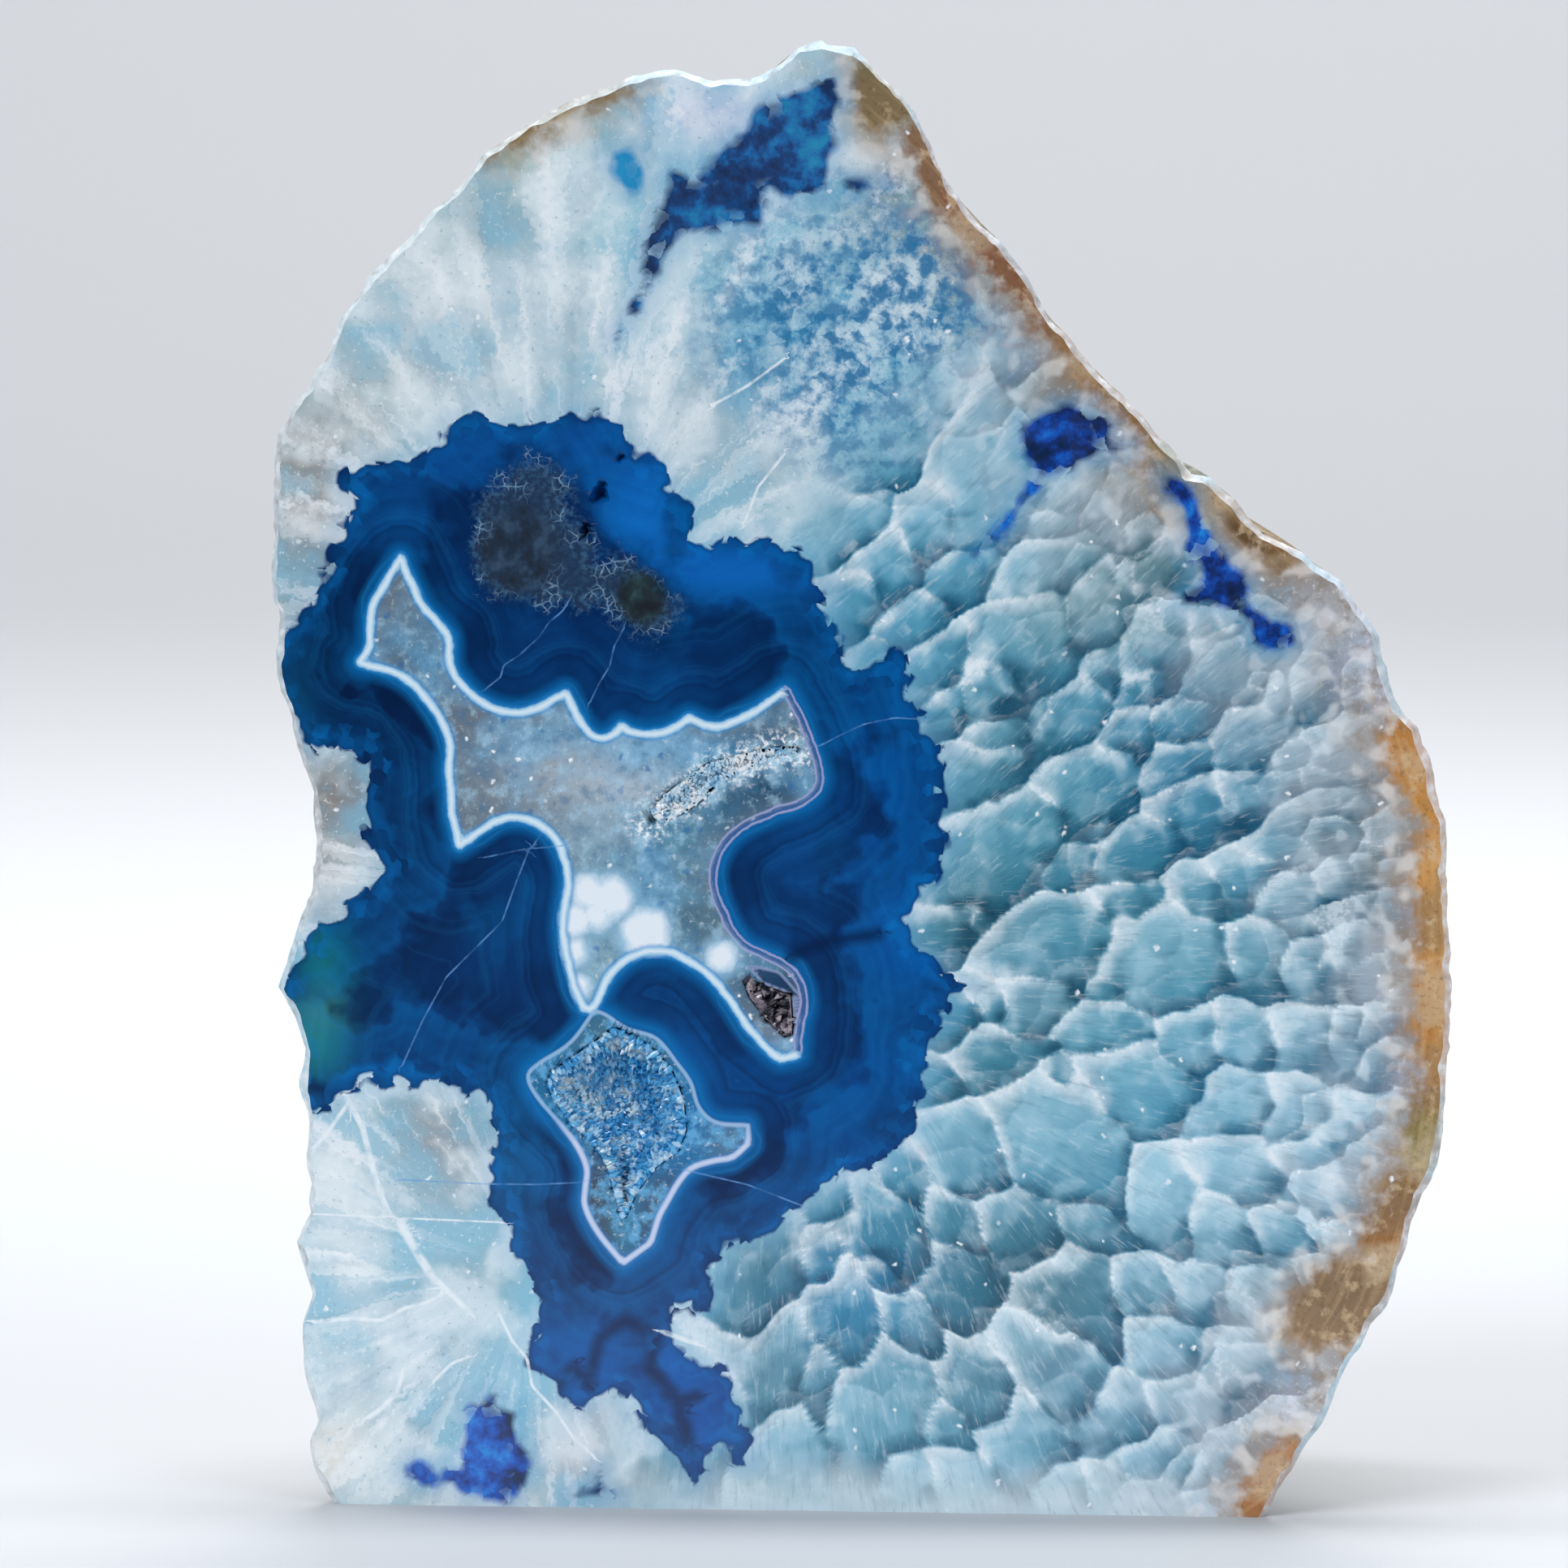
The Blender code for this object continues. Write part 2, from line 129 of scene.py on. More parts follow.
# Outlines on the face. A point with a third value 1 is a sharp corner; the others are rounded.
AGATE = (
    (-63.5, 128.8), (-59.0, 130.3), (-54.0, 131.3), (-50.0, 134.8), (-46.0, 135.8), (-40.0, 135.3),
    (-32.5, 136.3), (-29.0, 134.3), (-27.0, 131.3), (-24.0, 129.3), (-23.5, 126.8), (-21.0, 124.8),
    (-21.5, 120.8, 1), (-16.0, 120.8), (-10.0, 120.3), (-6.0, 118.3), (-5.0, 115.3), (-4.0, 112.3),
    (-2.0, 107.3), (0.0, 104.8), (4.5, 107.5, 1), (6.0, 104.3), (8.0, 97.3), (10.2, 94.3),
    (10.0, 88.3), (10.5, 81.3), (8.0, 77.3), (5.5, 73.3), (7.0, 70.3), (13.0, 65.8, 1),
    (10.5, 62.8), (8.5, 57.3), (7.5, 52.3), (6.0, 47.3), (3.0, 44.3), (-3.0, 41.3),
    (-8.0, 37.3), (-13.0, 34.3), (-17.0, 32.8), (-18.5, 29.3), (-18.5, 25.3), (-23.0, 24.8),
    (-23.8, 21.8), (-21.0, 19.3), (-17.0, 18.3), (-15.5, 14.3), (-13.5, 8.3), (-14.5, 6.3),
    (-18.0, 7.3), (-20.5, 2.3, 1), (-23.0, 6.3), (-27.0, 10.3), (-30.0, 14.3), (-34.5, 13.3),
    (-36.5, 11.8, 1), (-37.0, 14.3), (-42.0, 19.3, 1), (-40.0, 25.3), (-41.0, 29.3), (-44.0, 34.3),
    (-46.0, 41.3), (-45.5, 47.3), (-47.0, 51.3), (-52.0, 53.3), (-62.0, 52.8), (-66.0, 49.8),
    (-70.6, 49.8, 1), (-71.0, 57.3), (-74.0, 63.3), (-70.0, 68.3), (-67.5, 72.3), (-63.0, 75.3),
    (-59.0, 80.3, 1), (-62.0, 86.3), (-60.5, 93.8, 1), (-67.0, 94.8), (-70.5, 97.8), (-74.5, 103.3),
    (-71.5, 108.3), (-68.5, 112.8), (-66.0, 118.3), (-63.5, 123.3),
)
STAR = (
    (-57.0, 118.4, 1), (-59.2, 114.8), (-60.5, 112.3), (-60.8, 109.5), (-61.0, 107.2),
    (-62.2, 105.4, 1), (-59.5, 104.7), (-57.2, 103.9), (-55.1, 102.4), (-53.0, 99.9),
    (-51.5, 97.2), (-50.9, 94.9), (-51.1, 92.2), (-50.9, 89.5), (-50.6, 86.4), (-49.8, 82.7, 1),
    (-47.7, 84.2), (-45.4, 85.7), (-43.1, 86.3), (-40.8, 85.9), (-38.9, 84.8), (-37.5, 83.2),
    (-36.5, 80.5), (-36.3, 77.9), (-36.9, 72.8), (-36.4, 69.0), (-35.5, 65.4), (-34.3, 62.6, 1),
    (-33.2, 62.4, 1), (-32.4, 64.2), (-31.2, 66.6), (-28.9, 68.8), (-26.0, 69.8), (-23.3, 69.6),
    (-20.8, 68.3), (-18.3, 66.5), (-16.0, 63.6), (-14.0, 60.6), (-12.0, 58.3), (-9.8, 56.5, 1),
    (-7.7, 57.1, 1), (-7.5, 60.5), (-6.9, 64.0), (-8.3, 67.4), (-11.3, 69.2), (-14.3, 70.6),
    (-16.3, 73.2), (-17.9, 77.0), (-18.2, 80.0), (-17.0, 83.0), (-14.9, 85.2), (-10.8, 87.2),
    (-6.9, 88.6), (-5.1, 90.6), (-5.2, 93.0), (-6.2, 96.0), (-7.6, 99.4), (-9.2, 102.4, 1),
    (-12.2, 100.2), (-15.5, 98.4), (-18.2, 97.7), (-21.2, 98.8, 1), (-23.3, 97.4), (-26.0, 96.7),
    (-28.2, 97.0), (-29.6, 97.6, 1), (-30.5, 96.8), (-32.0, 96.2), (-33.6, 96.8), (-34.9, 98.6),
    (-36.5, 101.8, 1), (-40.0, 99.9), (-42.8, 99.3), (-45.5, 99.8), (-47.8, 101.1), (-49.8, 103.2),
    (-50.9, 105.3), (-51.1, 108.6), (-52.4, 110.3), (-54.2, 112.4), (-55.8, 115.5),
)
STAR_THIN_FROM, STAR_THIN_TO = (-7.7, 57.1), (-9.2, 102.4)  # between these corners its line is thin
# Rounded white lumps at the star's lower end: middle and radius.
LOBES = (
    (-26.6, 72.1, 2.9), (-30.9, 76.4, 2.5), (-33.6, 77.0, 2.1), (-35.4, 73.6, 1.8), (-32.6, 74.3, 1.7),
    (-35.6, 69.6, 1.6), (-34.9, 65.2, 1.3), (-17.2, 69.2, 1.7),
)
POCKET = (
    (-33.0, 62.3, 1), (-36.0, 58.3), (-40.0, 55.6), (-41.3, 54.0), (-40.2, 51.5), (-37.2, 48.0),
    (-35.2, 45.4), (-34.0, 42.6), (-34.2, 40.0), (-34.2, 37.8), (-32.6, 34.6), (-29.5, 30.8, 1),
    (-26.0, 33.4, 1), (-25.0, 36.6), (-24.1, 38.3), (-22.4, 41.2), (-20.7, 42.9), (-17.8, 43.8),
    (-15.8, 44.2), (-13.8, 46.0, 1), (-13.9, 48.2, 1), (-17.8, 48.5), (-20.0, 50.4), (-21.0, 53.4),
    (-22.6, 55.7), (-25.3, 58.9), (-28.9, 60.1), (-31.6, 61.8),
)
PANE = ((-14.0, 68.2, 1), (-10.0, 67.3, 1), (-7.4, 64.4, 1), (-7.8, 58.3, 1), (-8.3, 64.6, 1), (-12.0, 66.0, 1))
# Where dye has soaked into cracks of the quartz.
DYED = {
    "peak": (
        (-3.5, 177.7, 1), (-2.4, 175.2), (-3.5, 172.9), (-3.1, 170.2), (-4.1, 167.9), (-4.5, 164.8),
        (-6.4, 163.7), (-9.4, 163.3), (-11.3, 163.7), (-12.1, 159.9), (-14.4, 159.9), (-16.3, 159.5),
        (-19.4, 158.7), (-22.4, 158.7), (-23.6, 156.4), (-24.7, 154.5), (-26.3, 151.8), (-27.0, 149.5),
        (-28.6, 148.4), (-29.3, 146.9), (-30.1, 145.2, 1), (-28.8, 148.8), (-27.4, 151.8),
        (-26.8, 154.9), (-26.3, 157.6), (-25.1, 160.3), (-24.0, 163.3), (-23.6, 166.0), (-22.6, 166.4),
        (-20.5, 165.6), (-18.6, 167.1), (-17.5, 168.7), (-15.6, 169.8), (-13.8, 171.0), (-13.6, 172.9),
        (-11.7, 174.4), (-8.7, 175.6), (-6.0, 176.7),
    ),
    "shoulder": (
        (19.9, 135.1), (23.3, 136.7), (26.0, 137.4), (28.7, 136.7), (30.6, 135.5), (30.6, 133.2),
        (33.1, 132.7, 1), (32.5, 131.9), (29.4, 131.5), (26.8, 130.5), (24.5, 129.0), (22.5, 127.9),
        (20.6, 126.3), (19.5, 124.4), (17.6, 122.1), (14.3, 119.3, 1), (16.8, 122.5), (19.5, 126.0),
        (21.2, 128.6), (20.6, 131.3), (19.9, 134.0),
    ),
    "side": (
        (37.5, 129.2), (38.6, 129.0), (40.5, 127.5), (41.3, 125.6), (42.4, 123.3), (43.6, 120.6),
        (44.7, 119.1), (46.7, 117.5), (47.4, 114.9), (46.7, 113.3), (48.6, 112.6), (50.5, 111.4),
        (53.0, 110.6), (53.2, 108.7), (50.5, 108.0), (48.6, 108.7), (48.2, 111.0), (45.1, 112.2),
        (42.4, 113.7), (39.2, 112.9, 1), (40.9, 115.6), (42.1, 117.5), (40.1, 119.8), (40.3, 122.5),
        (39.8, 124.8), (38.2, 126.7), (37.5, 127.9),
    ),
    "foot": (
        (-45.5, 14.1), (-44.9, 12.5), (-43.0, 11.8), (-43.2, 9.8), (-42.2, 7.9), (-41.3, 5.6),
        (-41.9, 3.0), (-43.4, 1.0), (-49.5, 1.2), (-51.0, 2.6), (-52.6, 2.6), (-54.9, 2.6),
        (-56.4, 3.7), (-56.4, 4.9), (-54.9, 5.6), (-53.9, 4.9), (-52.6, 4.1), (-51.0, 4.9),
        (-49.5, 4.5), (-49.5, 7.2), (-49.1, 10.2), (-49.1, 12.1), (-47.2, 12.9),
    ),
    "toe": ((-32.3, 5.3, 1), (-31.9, 3.7), (-30.9, 1.2, 1), (-35.3, 1.4, 1), (-33.4, 2.6), (-32.7, 3.7)),
    "speck_peak": ((-2.0, 165.2), (0.4, 165.0), (1.6, 164.2), (0.2, 163.9), (-1.8, 164.2)),
    "speck_cyan": ((-30.6, 168.6), (-28.4, 168.8), (-27.0, 166.6), (-26.8, 164.4), (-28.6, 163.8),
                   (-30.2, 165.6)),
}
# Hairline cracks across the agate, healed pale.
HAIRLINES = (
    ((-36.2, 112.9), (-37.0, 111.8), (-38.5, 110.6), (-39.8, 108.7), (-42.3, 106.4), (-44.2, 105.2),
     (-44.6, 103.7), (-46.5, 102.2)),
    ((-29.3, 109.8), (-30.5, 107.5), (-31.0, 105.2), (-32.4, 102.9), (-33.5, 100.6)),
    ((-6.8, 95.1), (-4.9, 95.5), (-2.6, 96.7), (0.5, 98.2), (4.3, 99.0), (8.5, 98.8)),
    ((-39.5, 84.3), (-41.2, 82.1), (-42.7, 78.3), (-44.5, 73.3), (-48.5, 69.3), (-51.5, 66.3),
     (-54.5, 60.8), (-57.0, 55.3)),
    ((-46.5, 81.3), (-42.0, 82.3), (-37.0, 82.8)),
    ((-57.5, 40.9), (-47.2, 40.5), (-40.3, 40.5), (-35.0, 40.8), (-31.9, 41.6), (-28.1, 42.6),
     (-24.6, 42.8), (-21.6, 42.5), (-18.5, 41.8), (-14.0, 40.8), (-10.0, 39.3), (-6.0, 37.8)),
)
# Dark veins in the agate.
VEINS = (
    ((-37.5, 15.5), (-35.8, 17.7), (-33.9, 15.6), (-32.4, 21.3), (-29.2, 23.7), (-25.2, 21.8),
     (-26.2, 17.7), (-23.2, 14.7), (-21.1, 8.6)),
    ((-24.0, 14.4), (-22.2, 13.7), (-20.2, 14.2)), ((-22.2, 13.7), (-22.6, 11.6)),
    ((-8.4, 69.4), (-4.2, 71.2), (2.4, 72.2)), ((-69.4, 53.0), (-66.0, 51.6), (-62.6, 53.4)),
)
# White cleavage lines in the quartz, each with half its width.
CLEAVAGES = (
    (0.42, ((-63.7, 50.6), (-62.0, 47.3), (-60.8, 42.3), (-59.5, 38.3), (-58.6, 36.3))),
    (0.62, ((-59.6, 36.6), (-57.6, 36.0), (-56.5, 33.9), (-55.0, 31.3), (-53.0, 28.3))),
    (0.38, ((-53.0, 28.6), (-50.5, 26.1), (-48.8, 24.4))),
    (0.3, ((-63.7, 50.6), (-66.5, 46.6), (-69.6, 43.2))),
    (0.28, ((-68.3, 22.9), (-63.3, 23.4), (-59.8, 23.2), (-56.8, 24.8), (-54.1, 25.5), (-52.0, 26.7))),
    (0.34, ((-57.2, 16.4), (-57.9, 14.1), (-59.8, 12.1), (-61.4, 11.0))),
    (0.22, ((-44.9, 24.0), (-43.4, 20.9), (-41.5, 18.6), (-40.9, 15.2), (-38.0, 12.1), (-35.7, 8.7),
            (-33.1, 6.4))),
    (0.14, ((-69.0, 36.5), (-57.5, 36.1), (-44.5, 35.7))),
    (0.22, ((-53.1, 15.8), (-51.0, 17.9), (-48.7, 18.8))),
    (0.35, ((-24.4, 22.2), (-21.6, 21.2), (-20.4, 20.9))),
    (0.2, ((-18.0, 137.6), (-14.0, 139.8), (-9.6, 143.0))),
    (0.2, ((-14.2, 123.2), (-12.6, 127.4), (-9.4, 131.4))),
)


def noise(points, size, seed):
    """Smooth noise from -1 to 1: random values on a cubic lattice of this size, eased in between."""
    table = np.random.default_rng(seed).uniform(-1, 1, (16, 16, 16))
    cell = np.floor(points / size).astype(int)
    part = points / size - cell
    part = part * part * (3 - 2 * part)
    total = np.zeros(points.shape[:-1])
    for corner in np.ndindex(2, 2, 2):
        index = (cell + corner) % 16
        share = np.prod(np.where(corner, part, 1 - part), axis=-1)
        total += share * table[index[..., 0], index[..., 1], index[..., 2]]
    return total


def spread_inside(outline, count, reach=1.0, middle=None):
    """A square grid of points filling an outline, and each one's share of the way out to it.

    Each square ring of the grid becomes a smaller copy of the outline around its middle.
    """
    outline = np.array([*outline, outline[0]])
    middle = outline[:-1].mean(axis=0) if middle is None else np.array(middle)
    along = np.concatenate([[0], np.cumsum(np.linalg.norm(np.diff(outline, axis=0), axis=1))])
    a, b = np.meshgrid(np.linspace(-1, 1, count), np.linspace(-1, 1, count), indexing="ij")
    share = np.maximum(abs(a), abs(b))
    safe = np.maximum(share, 1e-9)
    eighths = np.select(
        [(abs(a) >= abs(b)) & (a > 0), (abs(a) >= abs(b)), b > 0],
        [b / safe, 4 - b / safe, 2 - a / safe],
        6 + a / safe,
    )
    place = (eighths / 8 % 1.0) * along[-1]
    on_rim = np.stack([np.interp(place, along, outline[:, i]) for i in (0, 1)], -1)
    share = share * reach
    return middle + (on_rim - middle) * share[..., None], share


def evened(rim, rounds):
    """The rim with its small teeth worn away, each point moving towards its two neighbours."""
    for _ in range(rounds):
        rim = 0.5 * rim + 0.25 * (np.roll(rim, 1, axis=0) + np.roll(rim, -1, axis=0))
    return rim


def rind():
    """The rind: a point's share of the way to the rim sets it back by a cosine and in by a sine.

    Lumps push the dome outwards, ledges step it, and what is past a break's rough plane moves onto it.
    """
    rim = np.array(RIM + SAWN_OFF)
    grid, share = spread_inside(rim, RIND_GRID, middle=FACE_MIDDLE)
    worn, _ = spread_inside(evened(rim, WEAR_ROUNDS), RIND_GRID, middle=FACE_MIDDLE)
    turn = (share * np.pi / 2)[..., None]
    out = np.maximum(share, 1e-9)[..., None]
    back = GROUND_EDGE + (DEPTH - GROUND_EDGE) * np.maximum(np.cos(turn), 0) ** DOME_POWER
    draw = np.sin(turn) ** DOME_POWER
    wear = np.clip((back - GROUND_EDGE) / WEAR_DEPTH, 0, 1)
    flat = (grid * (1 - wear) + worn * wear - FACE_MIDDLE) / out * draw + FACE_MIDDLE
    flat += (np.array(REAR_MIDDLE) - FACE_MIDDLE) * (1 - draw)
    points = np.insert(flat, 1, back[..., 0], axis=2)

    middle = np.insert(np.array(FACE_MIDDLE), 1, 0.0)
    outward = (points - middle) / np.array(REACHES) ** 2
    outward /= np.linalg.norm(outward, axis=-1, keepdims=True)
    height = sum(rise * noise(points, size, seed) for size, rise, seed in LUMPS)
    size, step, seed = LEDGE
    height += step * np.round(LEDGE_STEPS * noise(points, size, seed)) - TUCK
    points += outward * (height * wear[..., 0])[..., None]
    for number, (direction, distance) in enumerate(BREAKS):
        direction = np.array(direction) / np.linalg.norm(direction)
        rough = BREAK_ROUGHNESS * noise(points, BREAK_GRAIN, 30 + number)
        past = np.clip((points - middle) @ direction - distance - rough, 0, None)
        points -= (past * wear[..., 0])[..., None] * direction
    points[..., 1] *= DEPTH / points[..., 1].max()
    fine = sum(rise * noise(points, size, seed) for size, rise, seed in FINE_LUMPS)
    return points + outward * ((fine - 0.4) * wear[..., 0])[..., None]


def border_of(grid):
    """The points round the border of a grid, in order."""
    return np.concatenate([grid[:-1, 0], grid[-1, :-1], grid[:0:-1, -1], grid[0, :0:-1]])


def rounded(outline, steps=6):
    """A closed outline as a smooth curve: cubic arcs with a slope at each rounded point along the line
    between its two neighbours, and straight starts at sharp corners."""
    points = np.array([point[:2] for point in outline])
    sharp = np.array([len(point) > 2 for point in outline])[:, None]
    ahead, behind = np.roll(points, -1, axis=0), np.roll(points, 1, axis=0)
    slope = (ahead - behind) / 2
    leaving = np.where(sharp, ahead - points, slope)
    arriving = np.roll(np.where(sharp, points - behind, slope), -1, axis=0)
    t = (np.arange(steps) / steps)[None, :, None]
    start, end, leaving, arriving = (v[:, None] for v in (points, ahead, leaving, arriving))
    curve = (
        (2 * t**3 - 3 * t**2 + 1) * start
        + (t**3 - 2 * t**2 + t) * leaving
        + (3 * t**2 - 2 * t**3) * end
        + (t**3 - t**2) * arriving
    )
    return curve.reshape(-1, 2)


def nearest(line, points, closed, batch=4000):
    """Distance from each point to a line, the number of the nearest stretch, and the side it lies on."""
    line = np.asarray(line, float)
    start, end = (line, np.roll(line, -1, axis=0)) if closed else (line[:-1], line[1:])
    run = end - start
    length2 = (run**2).sum(-1)
    far, which, side = (np.empty(len(points)) for _ in range(3))
    for first in range(0, len(points), batch):
        some = points[first:first + batch, None] - start
        share = np.clip((some * run).sum(-1) / length2, 0, 1)
        gap = np.linalg.norm(some - share[..., None] * run, axis=-1)
        pick = gap.argmin(axis=1)
        rows = np.arange(len(pick))
        cross = run[pick, 0] * some[rows, pick, 1] - run[pick, 1] * some[rows, pick, 0]
        far[first:first + batch] = gap[rows, pick]
        which[first:first + batch] = pick
        side[first:first + batch] = np.where(cross < 0, -1, 1)
    return far, which.astype(int), side


def is_inside(outline, points, batch=4000):
    """True where a point lies inside: a level ray from it crosses the outline an odd number of times."""
    a, b = outline, np.roll(outline, -1, axis=0)
    inside = np.empty(len(points), bool)
    for first in range(0, len(points), batch):
        x, z = points[first:first + batch, 0, None], points[first:first + batch, 1, None]
        spans = (a[:, 1] > z) != (b[:, 1] > z)
        rise = np.where(b[:, 1] == a[:, 1], 1e-12, b[:, 1] - a[:, 1])
        at = a[:, 0] + (z - a[:, 1]) * (b[:, 0] - a[:, 0]) / rise
        inside[first:first + batch] = (spans & (x < at)).sum(axis=1) % 2 == 1
    return inside


def signed(outline, points):
    """Distance to a closed outline, negative inside it."""
    far, _, _ = nearest(outline, points, True)
    return np.where(is_inside(outline, points), -far, far)


def share_inside(outline, points, middle=None):
    """How far out each point lies from an outline's middle, as a share of the outline's own distance."""
    outline = np.array([point[:2] for point in outline])
    middle = outline.mean(axis=0) if middle is None else np.array(middle)
    ray = points - middle
    a, b = outline - middle, np.roll(outline, -1, axis=0) - middle
    run = b - a
    det = ray[:, None, 0] * run[:, 1] - ray[:, None, 1] * run[:, 0]
    det = np.where(abs(det) < 1e-12, 1e-12, det)
    reach = (a[:, 0] * run[:, 1] - a[:, 1] * run[:, 0]) / det
    along = (a[:, 0] * ray[:, None, 1] - a[:, 1] * ray[:, None, 0]) / det
    hit = (reach > 0) & (along >= 0) & (along <= 1)
    return 1 / np.where(hit, reach, np.inf).min(axis=1)


def seam_outline(seam):
    """The outline of a seam of changing width, given as points with half widths."""
    seam = np.array(seam)
    course = np.gradient(seam[:, :2], axis=0)
    course /= np.linalg.norm(course, axis=1, keepdims=True)
    aside = np.stack([-course[:, 1], course[:, 0]], -1) * seam[:, 2:]
    return np.concatenate([seam[:, :2] + aside, (seam[:, :2] - aside)[::-1]])


def hollow_depth(share, depth):
    """Depth of a hollow's wall: a short upright drop at its mouth, then a dish."""
    inside = np.clip(1 - np.minimum(share, 1) ** 2, 0, 1)
    return WALL_AT_MOUTH + (depth - WALL_AT_MOUTH) * inside**DISH_POWER


def mesh_object(name, points, faces, materials, numbers=None):
    """An object in the part's frame from points in millimetres, its faces turned outwards."""
    mesh = bpy.data.meshes.new(name)
    place = np.asarray(points, float) - (0.0, DEPTH / 2, 0.0)
    mesh.from_pydata((place * MM).tolist(), [], [list(map(int, face)) for face in faces])
    for finish in materials:
        mesh.materials.append(finish)
    if numbers is not None:
        mesh.polygons.foreach_set("material_index", np.asarray(numbers, np.int32))
    shape = bmesh.new()
    shape.from_mesh(mesh)
    bmesh.ops.recalc_face_normals(shape, faces=shape.faces)
    if shape.calc_volume(signed=True) < 0:
        bmesh.ops.reverse_faces(shape, faces=shape.faces)
    shape.to_mesh(mesh)
    shape.free()
    made = bpy.data.objects.new(name, mesh)
    bpy.context.scene.collection.objects.link(made)
    return made


def face_hollows(flat):
    """Depth of the polished face's open hollows at each point, and the points moved onto the mouths.

    A point within half a cell of a mouth slides onto it, so that the mouth's edge is clean. The depth
    is a short drop and then a dish; the seam across the star is a trough of changing width.
    """
    flat = flat.copy()
    depth = np.zeros(len(flat))
    hollows = [(np.array(LOWER_POCKET), LOWER_POCKET_DEPTH), (np.array(WEDGE_VUG), WEDGE_VUG_DEPTH)]
    hollows += [(np.array(outline), deep) for outline, deep in PITS]
    hollows.append((seam_outline(STAR_FISSURE), FISSURE_DEPTH))
    for number, (outline, deep) in enumerate(hollows):
        low, high = outline.min(axis=0) - 1.5, outline.max(axis=0) + 1.5
        near = np.flatnonzero(((flat > low) & (flat < high)).all(axis=1))
        closed = np.concatenate([outline, outline[:1]])
        far, which, _ = nearest(outline, flat[near], True)
        run = closed[which + 1] - closed[which]
        share = np.clip(((flat[near] - closed[which]) * run).sum(-1) / (run**2).sum(-1), 0, 1)
        foot = closed[which] + share[:, None] * run
        snap = far < 0.3
        flat[near[snap]] = foot[snap]
        inside = near[is_inside(outline, flat[near]) & ~snap]
        if number < len(hollows) - 1:
            depth[inside] = hollow_depth(share_inside(outline, flat[inside]), deep)
        else:
            seam = np.array(STAR_FISSURE)
            gap, _, _ = nearest(seam[:, :2], flat[inside], False)
            edge, _, _ = nearest(outline, flat[inside], True)
            depth[inside] = hollow_depth(gap / (gap + edge + 1e-6), deep)
    return flat, depth


def wander(points):
    """Small chips of the rim: each point near it sways in the plane of the face by smooth noise."""
    rim = rounded(RIM + SAWN_OFF, 1)
    far, _, _ = nearest(rim, points[:, [0, 2]], True)
    near = np.clip(1 - far / RIM_WANDER_REACH, 0, 1) * np.clip(1 - points[:, 1] / WEAR_DEPTH, 0, 1)
    near *= np.clip(points[:, 2] / 4, 0, 1)
    for axis in (0, 2):
        for size, sway, seed in RIM_WANDER:
            points[:, axis] += near * sway * (noise(points, size, seed + axis) - 0.25 * np.sign(
                points[:, axis] - (FACE_MIDDLE[0], 0, FACE_MIDDLE[1])[axis]))
    return points


def stone(polished, ground, rough, sawn):
    """The whole nodule as one closed surface.

    The polished face is a square grid spread inside the rim, the rind is a coarser grid over the dome,
    and a ground edge joins their borders. A level cut makes the base.
    """
    front, share = spread_inside(np.array(RIM + SAWN_OFF), FACE_GRID, middle=FACE_MIDDLE)
    rear = rind()
    count, coarse = FACE_GRID, RIND_GRID
    number = np.arange(count * count).reshape(count, count)
    behind = count * count + np.arange(coarse * coarse).reshape(coarse, coarse)

    border = border_of(number)
    flat = front.reshape(-1, 2)
    reach = np.linalg.norm(flat - FACE_MIDDLE, axis=1) / np.maximum(share.ravel(), 1e-9)
    flat += (np.array(FACE_MIDDLE) - flat) * (GROUND_EDGE / np.maximum(reach, GROUND_EDGE))[:, None]
    flat, depth = face_hollows(flat)
    points = np.concatenate([np.insert(flat, 1, depth, axis=1), rear.reshape(-1, 3)])
    points = wander(points)

    faces, finish = [], []
    for grid, slot in ((number, 0), (behind, 2)):
        cells = np.stack([grid[:-1, :-1], grid[1:, :-1], grid[1:, 1:], grid[:-1, 1:]], -1)
        faces += cells.reshape(-1, 4).tolist()
        finish += [slot] * cells[..., 0].size
    outer = border_of(behind)
    fine = border.reshape(-1, 2)
    following = np.roll(fine[:, 0], -1)
    after = np.roll(outer, -1)
    for near, far in (
        (np.stack([outer, fine[:, 0], fine[:, 1]], -1), None),
        (np.stack([outer, fine[:, 1], after], -1), None),
        (np.stack([after, fine[:, 1], following], -1), None),
    ):
        faces += near.tolist()
        finish += [1] * len(near)
    made = mesh_object("agate_stone", points, faces, (polished, ground, rough, sawn), finish)

    shape = bmesh.new()
    shape.from_mesh(made.data)
    everything = shape.verts[:] + shape.edges[:] + shape.faces[:]
    cut = bmesh.ops.bisect_plane(
        shape, geom=everything, dist=1e-7, plane_co=(0, 0, 0), plane_no=(0, 0, 1), clear_inner=True
    )
    loop = [part for part in cut["geom_cut"] if isinstance(part, bmesh.types.BMEdge)]
    closed = bmesh.ops.contextual_create(shape, geom=loop)
    for face in closed["faces"]:
        face.material_index = 3
    bmesh.ops.recalc_face_normals(shape, faces=shape.faces)
    shape.to_mesh(made.data)
    shape.free()
    made.data.shade_smooth()
    made.data.set_sharp_from_angle(angle=np.radians(35))
    return made


def paint(code):
    """An sRGB hex colour as linear values with full opacity."""
    srgb = np.array([int(code[i:i + 2], 16) for i in (1, 3, 5)]) / 255
    linear = np.where(srgb <= 0.04045, srgb / 12.92, ((srgb + 0.055) / 1.055) ** 2.4)
    return (*linear.tolist(), 1.0)


